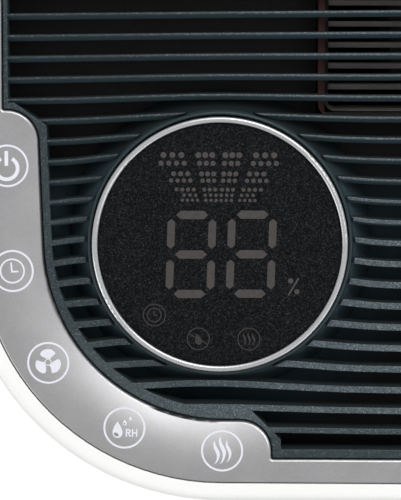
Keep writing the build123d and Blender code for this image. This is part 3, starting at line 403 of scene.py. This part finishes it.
def grilleFinish():
    look = grillePlastic
    finish, tree, shader, coord = startFinish("grillePlastic")
    grains = addRichNoise(tree, coord, look["grain"])
    place = addSplit(tree, coord)
    fromMiddle = planReach(tree, coord, look["displayCentre"])
    surface = tree.nodes.new("ShaderNodeNewGeometry")
    facing = addSplit(tree, surface.outputs["Normal"])
    onTop = addSpan(tree, place["Z"], look["topLevels"])
    outside = addSpan(tree, fromMiddle, look["collarEdge"], smooth=True)
    toBack = addRange(tree, facing["Y"], *look["backFacing"], 0, 1)

    # painted light: the tops are painted paler towards the right and darker along the front border, in place
    # of the back softbox's sheen
    dim = grainedTop(tree, grains, look["colour"], look["shades"], look["speck"])
    bright = grainedTop(tree, grains, look["litColour"], look["litShades"], look["litSpeck"])
    across = addSpan(tree, place["X"], look["paintedLightWidth"])
    inward = addSpan(tree, place["Y"], look["paintedLightFront"])
    top = addMix(tree, addMath(tree, "MULTIPLY", across, inward), dim, bright)
    skirt = addShades(tree, grains, look["skirtColour"], look["skirtShades"])
    plain = addShades(tree, grains, look["wallColour"], look["wallShades"])
    offDisplay = addSpan(tree, fromMiddle, look["skirtRadius"], smooth=True)
    wall = addMix(tree, offDisplay, skirt, plain)
    # painted shade on the walls that face the back
    back = addShades(tree, grains, look["backPaintedShade"], look["backShades"])
    slat = addMix(tree, onTop, addMix(tree, toBack, wall, back), top)
    # painted shade on the collar
    collar = addShades(tree, grains, look["collarPaintedShade"], look["collarShades"])
    tree.links.new(addMix(tree, outside, collar, slat), shader.inputs["Base Color"])

    gloss = addGloss(tree, grains, look["topGloss"])
    gloss = addMath(tree, "ADD", gloss, addRange(tree, onTop, 0, 1, look["wallDull"], 0.0))
    onCollar = addRange(tree, outside, 0, 1, 1, 0)
    collarGloss = addMath(tree, "MULTIPLY", addGloss(tree, grains, look["collarGloss"]), onCollar)
    gloss = addMath(tree, "ADD", gloss, collarGloss)
    gloss = addMath(tree, "ADD", gloss, addRange(tree, toBack, 0, 1, 0.0, look["backDull"]))
    tree.links.new(gloss, shader.inputs["Roughness"])

    rounded = tree.nodes.new("ShaderNodeBevel")
    rounded.samples = look["edgeSamples"]
    rounded.inputs["Radius"].default_value = look["edgeRound"] * mm
    dish = addSpan(tree, fromMiddle, look["dishRadius"])
    dishFront, dishBack = look["dishFront"]
    ahead = addRange(tree, place["Y"], dishFront * mm, dishBack * mm, 1, 0, smooth=True)
    height = addMath(tree, "MULTIPLY", dish, ahead)
    dished = addBump(tree, height, look["dishDepth"], under=rounded.outputs[0])
    grained = addBump(tree, grains, look["grainDepth"], look["grainStrength"], dished)
    tree.links.new(grained, shader.inputs["Normal"])
    shader.inputs["Specular IOR Level"].default_value = look["specular"]
    shader.inputs["Specular Tint"].default_value = (*look["sheen"], 1)
    return finish


# smoked window of the display, nearly black with a fine sparkle
smokedWindow = {
    "colour": (0.0048, 0.0052, 0.0058),
    "shades": (0.1, 3.4),
    "sparkle": (0.045, 0.045, 0.048),
    "grain": 0.4,  # mm
    "grainPlaces": (0.28, 0.5, 0.68, 0.78),  # noise values of dark, base, pale and sparkle
    "gloss": (0.3, 0.42),
    "specular": 0.05,
}


def windowFinish():
    look = smokedWindow
    finish, tree, shader, coord = startFinish("smokedWindow")
    grains = addNoise(tree, coord, look["grain"], detail=1.0)
    base = look["colour"]
    low, high = look["shades"]
    colours = (shade(base, low), base, shade(base, high), look["sparkle"])
    tree.links.new(addRamp(tree, grains, look["grainPlaces"], colours), shader.inputs["Base Color"])
    tree.links.new(addGloss(tree, grains, look["gloss"]), shader.inputs["Roughness"])
    shader.inputs["Specular IOR Level"].default_value = look["specular"]
    return finish


# turned metal ring round the display
ringMetal = {
    "colours": ((0.36, 0.364, 0.372), (0.405, 0.41, 0.418)),
    "brush": 0.5,  # mm
    "depth": 0.0005,
    "gloss": (0.3, 0.36),
}


def ringMetalFinish():
    look = ringMetal
    finish, tree, shader, coord = startFinish("ringMetal")
    brush = addNoise(tree, coord, look["brush"])
    tree.links.new(addRamp(tree, brush, noiseSpan, look["colours"]), shader.inputs["Base Color"])
    tree.links.new(addGloss(tree, brush, look["gloss"]), shader.inputs["Roughness"])
    tree.links.new(addBump(tree, brush, look["depth"]), shader.inputs["Normal"])
    shader.inputs["Metallic"].default_value = 1.0
    return finish


# woven net of the filter
filterNet = {
    "pitch": 1.2,  # mm
    "colours": ((0.1, 0.1, 0.105), (0.012, 0.012, 0.013)),  # thread and gap
    "places": (0.1, 0.5),
    "depth": -0.3,
    "roughness": 0.65,
}


def filterNetFinish():
    look = filterNet
    finish, tree, shader, coord = startFinish("filterNet")
    place = addSplit(tree, coord)
    threads = []
    for axis in ("X", "Z"):
        turns = addMath(tree, "MULTIPLY", place[axis], 2 * math.pi / (look["pitch"] * mm))
        threads.append(addMath(tree, "ABSOLUTE", addMath(tree, "SINE", turns)))
    weave = addMath(tree, "MINIMUM", *threads)
    tree.links.new(addRamp(tree, weave, look["places"], look["colours"]), shader.inputs["Base Color"])
    tree.links.new(addBump(tree, weave, look["depth"]), shader.inputs["Normal"])
    shader.inputs["Roughness"].default_value = look["roughness"]
    return finish


# clear tank with a faint cloud in the wall
clearTank = {
    "colours": ((0.72, 0.78, 0.8), (0.84, 0.88, 0.89)),
    "cloud": 14.0,  # mm
    "depth": 0.05,
    "gloss": (0.18, 0.3),
    "clearness": 0.55,
    "bending": 1.45,
}


def clearTankFinish():
    look = clearTank
    finish, tree, shader, coord = startFinish("clearTank")
    clouds = addRichNoise(tree, coord, look["cloud"])
    tree.links.new(addRamp(tree, clouds, noiseSpan, look["colours"]), shader.inputs["Base Color"])
    tree.links.new(addGloss(tree, clouds, look["gloss"]), shader.inputs["Roughness"])
    tree.links.new(addBump(tree, clouds, look["depth"]), shader.inputs["Normal"])
    shader.inputs["Transmission Weight"].default_value = look["clearness"]
    shader.inputs["IOR"].default_value = look["bending"]
    return finish


# green board with paler tracks
circuitBoard = {
    "colours": ((0.015, 0.16, 0.06), (0.01, 0.09, 0.035), (0.03, 0.2, 0.08)),
    "places": (0.15, 0.45, 0.75),
    "cell": 4.0,  # mm
    "depth": 0.05,
    "gloss": (0.25, 0.5),
}


def circuitBoardFinish():
    look = circuitBoard
    finish, tree, shader, coord = startFinish("circuitBoard")
    cells = tree.nodes.new("ShaderNodeTexVoronoi")
    cells.distance = "MANHATTAN"
    cells.inputs["Scale"].default_value = 1.0 / (look["cell"] * mm)
    tree.links.new(coord, cells.inputs["Vector"])
    tracks = cells.outputs["Distance"]
    tree.links.new(addRamp(tree, tracks, look["places"], look["colours"]), shader.inputs["Base Color"])
    tree.links.new(addRange(tree, tracks, 0, 1, *look["gloss"]), shader.inputs["Roughness"])
    tree.links.new(addBump(tree, tracks, look["depth"]), shader.inputs["Normal"])
    return finish


# drawn metal with fine lines along one axis
def drawnMetalFinish(name, colour, stretch, gloss, dull=0.75, line=1.0, depth=0.02):
    finish, tree, shader, coord = startFinish(name)
    lines = tree.nodes.new("ShaderNodeMapping")
    lines.inputs["Scale"].default_value = stretch
    tree.links.new(coord, lines.inputs["Vector"])
    streaks = addRichNoise(tree, lines.outputs[0], line)
    tree.links.new(addShades(tree, streaks, colour, (dull, 1.0)), shader.inputs["Base Color"])
    tree.links.new(addGloss(tree, streaks, gloss), shader.inputs["Roughness"])
    tree.links.new(addBump(tree, streaks, depth), shader.inputs["Normal"])
    shader.inputs["Metallic"].default_value = 1.0
    return finish


# name, colour, cloud share and size, grain size and depth, gloss, then metal and specular level if not usual
mouldedLooks = {
    "white_shell": ("whiteShell", (0.86, 0.863, 0.845), 0.012, 60.0, 0.7, 0.02, (0.3, 0.4), 0.0, 0.4),
    "black_plastic": ("blackPlastic", (0.006, 0.007, 0.0075), 0.2, 8.0, 0.4, 0.03, (0.5, 0.7), 0.0, 0.15),
    "light_guide": ("lightGuide", (0.5, 0.5, 0.47), 0.05, 6.0, 0.4, 0.01, (0.25, 0.35)),
    "chassis_grey": ("chassisGrey", (0.21, 0.215, 0.22), 0.06, 40.0, 0.7, 0.03, (0.45, 0.6)),
    "fan_plastic": ("fanPlastic", (0.05, 0.052, 0.055), 0.1, 18.0, 0.5, 0.03, (0.4, 0.55)),
    "compressor_paint": ("compressorPaint", (0.012, 0.012, 0.013), 0.2, 12.0, 0.9, 0.06, (0.25, 0.45)),
    "rubber_black": ("rubberBlack", (0.018, 0.018, 0.018), 0.15, 6.0, 0.4, 0.04, (0.7, 0.85), 0.0, 0.3),
    "lid_grey": ("lidGrey", (0.32, 0.33, 0.335), 0.05, 30.0, 0.6, 0.03, (0.4, 0.55)),
    "float_foam": ("floatFoam", (0.78, 0.77, 0.72), 0.06, 5.0, 1.2, 0.15, (0.75, 0.9)),
    "magnet": ("magnet", (0.06, 0.055, 0.055), 0.15, 3.0, 0.3, 0.02, (0.4, 0.6), 0.6),
    "castor_grey": ("castorGrey", (0.085, 0.088, 0.092), 0.1, 10.0, 0.5, 0.03, (0.45, 0.6)),
}

# name, colour, how close the lines lie along each axis, gloss, then the shade of the dull lines if not usual
drawnLooks = {
    "spring_steel": ("springSteel", (0.6, 0.6, 0.58), (3, 3, 1), (0.25, 0.4)),
    "bare_aluminium": ("bareAluminium", (0.72, 0.73, 0.74), (1, 6, 6), (0.28, 0.45)),
    "motor_steel": ("motorSteel", (0.42, 0.42, 0.42), (4, 1, 4), (0.3, 0.5)),
    "copper": ("copperTube", (0.72, 0.36, 0.22), (2, 2, 2), (0.25, 0.45), 0.6),
}

finishes = {
    "silver_band": silverFinish(),
    "dark_grille": grilleFinish(),
    "bezel_metal": ringMetalFinish(),
    "smoked_lens": windowFinish(),
    "circuit_board": circuitBoardFinish(),
    "tank_clear": clearTankFinish(),
    "filter_net": filterNetFinish(),
}
for slotName, look in mouldedLooks.items():
    finishes[slotName] = mouldedFinish(*look)
for slotName, look in drawnLooks.items():
    finishes[slotName] = drawnMetalFinish(*look)


# seen dimly through the slots: the duct's brown left wall, the heater's pale front edge and fins, the deck
ductLook = {
    "wallColour": (0.075, 0.021, 0.019),
    "edgeColour": (0.36, 0.33, 0.3),
    "finColour": (0.33, 0.3, 0.295),
    "paintedShadeColour": (0.012, 0.011, 0.011),
    "sideWidth": 3.0,  # mm
    "sideCloud": 8.0,
    "shades": (0.8, 1.2),
    "sideSpecular": 0.25,
    "grain": 0.5,
    "depth": 0.03,
    "gloss": (0.5, 0.65),
    # painted light on the deck: teal near the display, paler teal to the left
    "deckNearPaintedLight": (0.022, 0.048, 0.064),
    "deckFar": (0.006, 0.0064, 0.007),
    "deckLeftPaintedLight": (0.12, 0.23, 0.27),
    "deckShades": (0.85, 1.15),
    "deckCloud": 6.0,
    "deckSpecular": 0.2,
    "leftWidth": (-130.0, -104.0),
    "deckRadius": (46.0, 66.0),
    "deckBack": (-44.0, -18.0),
}


def sidedFinish(name, colour, axis, edge):
    # the colour lies along one side of the piece; the rest is painted dark as painted shade
    look = ductLook
    finish, tree, shader, coord = startFinish(name)
    place = addSplit(tree, coord)
    clouds = addRichNoise(tree, coord, look["sideCloud"])
    side = addShades(tree, clouds, colour, look["shades"])
    rest = addShades(tree, clouds, look["paintedShadeColour"], look["shades"])
    away = addRange(tree, place[axis], edge, edge + look["sideWidth"] * mm, 0, 1)
    tree.links.new(addMix(tree, away, side, rest), shader.inputs["Base Color"])
    addGrain(tree, shader, coord, look["grain"], look["depth"], look["gloss"])
    shader.inputs["Specular IOR Level"].default_value = look["sideSpecular"]
    return finish


def deckFinish():
    # black floor under the slots, with painted light: teal round the display and a paler teal to the left;
    # black further off and behind
    look = ductLook
    finish, tree, shader, coord = startFinish("deckPaintedLight")
    clouds = addRichNoise(tree, coord, look["deckCloud"])
    place = addSplit(tree, coord)
    paler = addShades(tree, clouds, look["deckLeftPaintedLight"], look["deckShades"])
    darker = addShades(tree, clouds, look["deckNearPaintedLight"], look["deckShades"])
    black = addShades(tree, clouds, look["deckFar"], look["shades"])
    # painted light: paler to the left, teal near the display
    paintedLitDeck = addMix(tree, addSpan(tree, place["X"], look["leftWidth"]), paler, darker)
    fromMiddle = planReach(tree, coord, grillePlastic["displayCentre"])
    farOff = addSpan(tree, fromMiddle, look["deckRadius"])
    behind = addSpan(tree, place["Y"], look["deckBack"])
    away = addMath(tree, "MAXIMUM", farOff, behind)
    tree.links.new(addMix(tree, away, paintedLitDeck, black), shader.inputs["Base Color"])
    addGrain(tree, shader, coord, look["grain"], look["depth"], look["gloss"])
    shader.inputs["Specular IOR Level"].default_value = look["deckSpecular"]
    return finish


ductFinishes = {
    "inner_deck": deckFinish(),
    "outlet_duct": sidedFinish("ductBrown", ductLook["wallColour"], "X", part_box("outlet_duct")[0].x),
    "heater_frame": sidedFinish("heaterEdge", ductLook["edgeColour"], "Y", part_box("heater_frame")[0].y),
    "heater_bars": mouldedFinish("heaterFins", ductLook["finColour"], 0.15, 12.0, 0.5, 0.03, (0.5, 0.7),
                                 specular=0.2),
}


def dressSolids():
    slotOf = {entry["node"]: entry["material_slot"] for entry in frame["record"]["subparts"]}
    for name, solid in nodes.items():
        if not solid.material_slots:
            solid.data.materials.append(None)
        for slot in solid.material_slots:
            slot.material = ductFinishes.get(name) or finishes[slotOf[name]]


dressSolids()
print("solids dressed")


# flat marks: each is drawn flat at its place, then all marks of a piece are joined and raised
def discMark(x, y, radius, sides=24):
    bpy.ops.mesh.primitive_circle_add(vertices=sides, radius=radius * mm, fill_type="NGON",
                                      location=(x * mm, y * mm, 0))
    return bpy.context.object


def ringMark(x, y, radius, stroke, sides=72):
    ring = discMark(x, y, radius + stroke / 2, sides)
    bpy.ops.object.mode_set(mode="EDIT")
    bpy.ops.mesh.inset(thickness=stroke * mm)
    bpy.ops.mesh.delete(type="FACE")  # the inner face is what inset leaves selected
    bpy.ops.object.mode_set(mode="OBJECT")
    return ring


def arcMark(x, y, radius, stroke, start, sweep, sides=72):
    # start and sweep in degrees
    ring = ringMark(x, y, radius, stroke, sides)
    for face in ring.data.polygons:
        angle = math.degrees(math.atan2(face.center.y, face.center.x))
        face.select = (angle - start) % 360 > sweep
    bpy.ops.object.mode_set(mode="EDIT")
    bpy.ops.mesh.select_mode(type="FACE")
    bpy.ops.mesh.delete(type="FACE")
    bpy.ops.object.mode_set(mode="OBJECT")
    return ring


def outlineMark(x, y, points):
    mark = discMark(x, y, 1.0, len(points))
    for corner, (px, py) in zip(mark.data.vertices, points):
        corner.co = (px * mm, py * mm, 0)
    return mark


def barMark(x, y, start, end, stroke):
    along = Vector((end[0] - start[0], end[1] - start[1]))
    side = Vector((-along.y, along.x)).normalized() * stroke / 2
    first, last = Vector(start), Vector(end)
    return outlineMark(x, y, [first - side, last - side, last + side, first + side])


def turnPoint(px, py, turn):
    return px * math.cos(turn) - py * math.sin(turn), px * math.sin(turn) + py * math.cos(turn)


dropShape = {"steps": 28, "fullness": 1.2, "sharpness": 1.15}


def dropMark(x, y, width, height, turn=0.0):
    steps = dropShape["steps"]
    points = []
    for step in range(steps):
        t = 2 * math.pi * step / steps
        narrowing = math.sin(t / 2) ** dropShape["sharpness"]  # to the tip
        px = width / 2 * dropShape["fullness"] * math.sin(t) * narrowing
        points.append(turnPoint(px, height / 2 * math.cos(t), turn))
    return outlineMark(x, y, points)


flameShape = (  # height share, sideways place and width, from foot to tip
    (0.0, -0.8, 0.0), (0.085, -0.1, 0.42), (0.18, 0.3, 0.57), (0.3, 0.58, 0.78), (0.42, 0.6, 1.05),
    (0.54, 0.32, 1.24), (0.67, -0.2, 1.18), (0.8, -0.58, 0.82), (0.9, -0.6, 0.54), (1.0, -0.43, 0.0),
)


def flameMark(x, y, height, width):
    # one wavy tongue, pointed at both ends
    left = [((place - wide / 2) * width, height * (up - 0.5)) for up, place, wide in flameShape]
    right = [((place + wide / 2) * width, height * (up - 0.5)) for up, place, wide in flameShape]
    return outlineMark(x, y, right[1:-1] + left[::-1])


def raiseMarks(name, marks, level, thickness, finish):
    bpy.ops.object.select_all(action="DESELECT")
    for mark in marks:
        mark.select_set(True)
    bpy.context.view_layer.objects.active = marks[0]
    bpy.ops.object.join()
    piece = bpy.context.object
    piece.name = name
    piece.location.z = level * mm
    bpy.ops.object.transform_apply(location=True, rotation=True, scale=True)
    bpy.ops.object.mode_set(mode="EDIT")
    bpy.ops.mesh.select_all(action="SELECT")
    bpy.ops.mesh.extrude_region_move(TRANSFORM_OT_translate={"value": (0, 0, thickness * mm)})
    bpy.ops.mesh.select_all(action="SELECT")
    bpy.ops.mesh.normals_make_consistent(inside=False)
    bpy.ops.object.mode_set(mode="OBJECT")
    piece.data.materials.clear()
    piece.data.materials.append(finish)
    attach(piece, "body")
    bpy.ops.object.select_all(action="DESELECT")


# printed touch keys on the silver band; the signs are placed from the middle of their key
touchKeys = {
    "heat": (-90.5, -104.0),  # mm
    "humidity": (-120.1, -97.1),
    "fan": (-143.1, -77.3),
    "clock": (-153.7, -49.4),
    "power": (-155.1, -17.7),
    "radius": 6.08,
    "stroke": 0.6,
    "level": 505.0,
    "thickness": 0.03,
    "ink": (0.72, 0.725, 0.79),
    "powerBar": ((-0.25, 0.0), (-0.25, 4.45), 1.1),  # start, end, stroke
    "powerArc": (-0.2, -0.75, 3.3, 1.12, 122, 296),  # place, radius, stroke, start, sweep
    "clockRing": (-0.1, 0.0, 3.55, 0.5),  # place, radius, stroke
    "clockHands": ((-0.6, 2.53), (-0.35, -0.47), (1.85, -0.4), (1.85, 0.1), (0.13, 0.04), (-0.1, 2.57)),
    "fanHub": (-0.05, 0.2, 0.94, 0.26),
    "bladeTurns": (0, 120, 240),
    "bladeUnit": 0.044,
    "bladeOutline": (  # reach in blade units, angle
        (26, 54), (40, 57), (60, 52), (77, 49), (84, 56), (91, 75), (92, 92), (90, 110), (86, 124),
        (80, 134), (66, 138), (50, 134), (34, 125), (27, 112), (25, 84),
    ),
    "drops": (  # place, width, height
        (-2.1, -0.55, 3.4, 5.1),
        (0.1, 1.6, 1.4, 1.8),
        (1.85, 2.9, 1.0, 1.25),
    ),
    "lettersPlace": (0.6, -2.75),
    "letterHeight": 2.4,
    "letterStroke": 0.42,
    "bowlPlace": (0.62, 1.75),
    "bowlRadius": 0.46,
    "bowlFoot": 1.29,
    "letterLeg": ((0.42, 1.06), (0.98, 0), (1.44, 0), (0.88, 1.06)),
    "secondLetter": 1.85,
    "secondWidth": 1.25,
    "flames": (  # place, height, width
        (-1.75, -0.56, 7.5, 0.98),
        (0.0, 0.11, 8.75, 1.06),
        (1.9, -0.17, 7.0, 0.86),
    ),
}


def powerMarks(x, y):
    dx, dy, *arc = touchKeys["powerArc"]
    return [barMark(x, y, *touchKeys["powerBar"]), arcMark(x + dx, y + dy, *arc)]


def clockMarks(x, y):
    dx, dy, *ring = touchKeys["clockRing"]
    return [ringMark(x + dx, y + dy, *ring), outlineMark(x + dx, y + dy, touchKeys["clockHands"])]


def fanBlade(x, y, turn):
    points = []
    for reach, angle in touchKeys["bladeOutline"]:
        along = reach * touchKeys["bladeUnit"]
        a = math.radians(angle + turn)
        points.append((along * math.cos(a), along * math.sin(a)))
    return outlineMark(x, y, points)


def fanMarks(x, y):
    dx, dy, *hub = touchKeys["fanHub"]
    marks = [fanBlade(x + dx, y + dy, turn) for turn in touchKeys["bladeTurns"]]
    return marks + [ringMark(x + dx, y + dy, *hub, sides=32)]


def humidityMarks(x, y):
    marks = [dropMark(x + dx, y + dy, *size) for dx, dy, *size in touchKeys["drops"]]
    tall, line = touchKeys["letterHeight"], touchKeys["letterStroke"]
    dx, dy = touchKeys["lettersPlace"]
    x, y = x + dx, y + dy

    marks.append(barMark(x, y, (0, 0), (0, tall), line))
    bowlX, bowlY = touchKeys["bowlPlace"]
    marks.append(arcMark(x + bowlX, y + bowlY, touchKeys["bowlRadius"], line, 270, 180, sides=36))
    for up in (tall - line / 2, touchKeys["bowlFoot"]):
        marks.append(barMark(x, y, (line / 2, up), (bowlX, up), line))
    marks.append(outlineMark(x, y, touchKeys["letterLeg"]))

    x, wide = x + touchKeys["secondLetter"], touchKeys["secondWidth"]
    for step in (0.0, wide):
        marks.append(barMark(x + step, y, (0, 0), (0, tall), line))
    marks.append(barMark(x, y, (line / 2, tall / 2), (wide - line / 2, tall / 2), line))
    return marks


def heatMarks(x, y):
    return [flameMark(x + dx, y + dy, *size) for dx, dy, *size in touchKeys["flames"]]


def makeTouchKeys():
    marks = []
    for key in ("heat", "humidity", "fan", "clock", "power"):
        marks.append(ringMark(*touchKeys[key], touchKeys["radius"], touchKeys["stroke"], sides=96))
    marks += powerMarks(*touchKeys["power"])
    marks += clockMarks(*touchKeys["clock"])
    marks += fanMarks(*touchKeys["fan"])
    marks += humidityMarks(*touchKeys["humidity"])
    marks += heatMarks(*touchKeys["heat"])
    ink = mouldedFinish("keyInk", touchKeys["ink"], cloud=0.03, cloudSize=2.0, grain=0.2, depth=0.005,
                        gloss=(0.4, 0.55))
    raiseMarks("touchKeyPrint", marks, touchKeys["level"], touchKeys["thickness"], ink)


makeTouchKeys()
print("touch keys printed")


# silver glints on the printed drops
dropGlints = {
    "thickness": 0.01,  # mm
    "largePlace": (-2.5, -2.05),
    "largeReach": (0.85, 0.52),
    "largeTurn": -30.0,  # degrees
    "smallPlace": (0.02, 1.25),
    "smallRadius": 0.3,
}


def makeDropGlints():
    x, y = touchKeys["humidity"]
    dx, dy = dropGlints["largePlace"]
    wide, high = dropGlints["largeReach"]
    large = discMark(x + dx, y + dy, 1.0, sides=20)
    for corner in large.data.vertices:
        turn = math.radians(dropGlints["largeTurn"])
        corner.co = (*turnPoint(corner.co.x * wide, corner.co.y * high, turn), 0)
    dx, dy = dropGlints["smallPlace"]
    small = discMark(x + dx, y + dy, dropGlints["smallRadius"], sides=14)
    glint = mouldedFinish("dropGlint", silverPaint["colour"], cloud=0.08, cloudSize=0.6, grain=0.22,
                          depth=0.005, gloss=(0.36, 0.48), metal=0.75)
    level = touchKeys["level"] + touchKeys["thickness"]
    raiseMarks("dropGlints", [large, small], level, dropGlints["thickness"], glint)


makeDropGlints()
print("glints made")


# unlit marks in the smoked window: two digits, percent sign, air-flow dots and three small signs
windowMarks = {
    "centre": (-91.4, -41.0),  # mm
    "level": 506.6,
    "thickness": 0.02,
    "digitColour": (0.06, 0.0545, 0.0525),
    "signColour": (0.04, 0.0375, 0.0365),
    "digitPlaces": ((-8.65, -3.0), (9.45, -2.85)),
    "digitReach": (6.15, 11.9),
    "lean": 0.03,
    "barAcross": (9.6, 2.5, 1.35),  # length, thickness, tip
    "barUpright": (8.9, 2.3, 0.95),
    "uprightShift": (-0.15, 0.25),  # of the lower and the upper bars
    "percentDots": ((21.27, -10.8), (23.17, -14.1)),
    "percentRadius": 0.8,
    "percentBar": ((20.6, -15.2), (23.65, -10.0), 0.55),  # start, end, stroke
    "airCentre": -0.4,
    "airInner": 3,
    "airRows": (  # height, dot radius, inner dots from and to, outer dots from and to, outer count
        (26.85, 0.9, 1.94, 6.1, 11.15, 16.5, 3),
        (24.4, 0.78, 1.7, 5.7, 10.3, 17.2, 4),
        (21.25, 0.75, 1.5, 5.1, 9.25, 13.45, 3),
        (19.22, 0.66, 1.35, 4.8, 8.45, 14.2, 4),
        (16.53, 0.6, 1.05, 4.3, 7.4, 12.6, 4),
        (14.85, 0.53, 0.8, 4.0, 6.85, 10.3, 3),
        (13.33, 0.5, 0.75, 3.8, 6.3, 10.85, 4),
    ),
    "signRing": (3.3, 0.3),  # radius, stroke
    "clockSign": (-19.6, -21.35),
    "clockRing": (2.05, 0.32),
    "clockHands": ((-0.22, 1.3), (-0.22, -0.22), (1.0, -0.22), (1.0, 0.12), (0.12, 0.12), (0.12, 1.3)),
    "dropSign": (-6.35, -28.5),
    "drop": (-0.1, -0.1, 2.3, 3.4, 0.25),  # place, width, height, turn
    "dropBars": (((-2.7, 1.5), (-0.98, 0.53), 0.3), ((0.98, -0.62), (2.7, -1.6), 0.3)),
    "heatSign": (8.85, -28.5),
    "heatPlaces": (-1.35, 0.0, 1.35),
    "heatFlame": (3.8, 0.5),  # height, width
}


def unlitFinish(name, colour):
    return mouldedFinish(name, colour, cloud=0.12, cloudSize=1.5, grain=0.25, depth=0.004, gloss=(0.4, 0.5),
                         specular=0.1)


def segmentMark(x, y, size, upright):
    length, thick, tip = size
    half, side = length / 2, thick / 2
    points = [(-half, 0), (-half + tip, -side), (half - tip, -side)]
    points += [(half, 0), (half - tip, side), (-half + tip, side)]
    if upright:
        points = [(-py, px) for px, py in points]
    return outlineMark(x, y, [(px + windowMarks["lean"] * py, py) for px, py in points])


def digitMarks(x, y):
    wide, high = windowMarks["digitReach"]
    lean = windowMarks["lean"]
    marks = []
    for up in (-high, 0.0, high):
        marks.append(segmentMark(x + lean * up, y + up, windowMarks["barAcross"], upright=False))
    lowShift, highShift = windowMarks["uprightShift"]
    for up in (-high / 2 + lowShift, high / 2 + highShift):
        for side in (-wide, wide):
            marks.append(segmentMark(x + side + lean * up, y + up, windowMarks["barUpright"], upright=True))
    return marks


def airMarks(x, y):
    marks = []
    for up, radius, nearIn, farIn, nearOut, farOut, count in windowMarks["airRows"]:
        runs = ((nearIn, farIn, windowMarks["airInner"]), (nearOut, farOut, count))
        for side in (-1, 1):
            for start, end, many in runs:
                for step in range(many):
                    reach = start + (end - start) * step / (many - 1)
                    marks.append(discMark(x + side * reach, y + up, radius, sides=16))
    return marks


def makeWindowDigits():
    cx, cy = windowMarks["centre"]
    marks = []
    for dx, dy in windowMarks["digitPlaces"]:
        marks += digitMarks(cx + dx, cy + dy)
    for dx, dy in windowMarks["percentDots"]:
        marks.append(discMark(cx + dx, cy + dy, windowMarks["percentRadius"]))
    marks.append(barMark(cx, cy, *windowMarks["percentBar"]))
    marks += airMarks(cx + windowMarks["airCentre"], cy)
    unlit = unlitFinish("unlitSegment", windowMarks["digitColour"])
    raiseMarks("windowDigits", marks, windowMarks["level"], windowMarks["thickness"], unlit)


def makeWindowSigns():
    cx, cy = windowMarks["centre"]
    signs = []
    for sign in ("clockSign", "dropSign", "heatSign"):
        dx, dy = windowMarks[sign]
        signs.append(ringMark(cx + dx, cy + dy, *windowMarks["signRing"], sides=64))

    dx, dy = windowMarks["clockSign"]
    signs.append(ringMark(cx + dx, cy + dy, *windowMarks["clockRing"], sides=48))
    signs.append(outlineMark(cx + dx, cy + dy, windowMarks["clockHands"]))

    dx, dy = windowMarks["dropSign"]
    sideways, upward, *drop = windowMarks["drop"]
    signs.append(dropMark(cx + dx + sideways, cy + dy + upward, *drop))
    for bar in windowMarks["dropBars"]:  # the crossing bar, left and right of the drop
        signs.append(barMark(cx + dx, cy + dy, *bar))

    dx, dy = windowMarks["heatSign"]
    for sideways in windowMarks["heatPlaces"]:
        signs.append(flameMark(cx + dx + sideways, cy + dy, *windowMarks["heatFlame"]))
    dim = unlitFinish("dimSign", windowMarks["signColour"])
    raiseMarks("windowSigns", signs, windowMarks["level"], windowMarks["thickness"], dim)


makeWindowDigits()
makeWindowSigns()
print("window marks made")
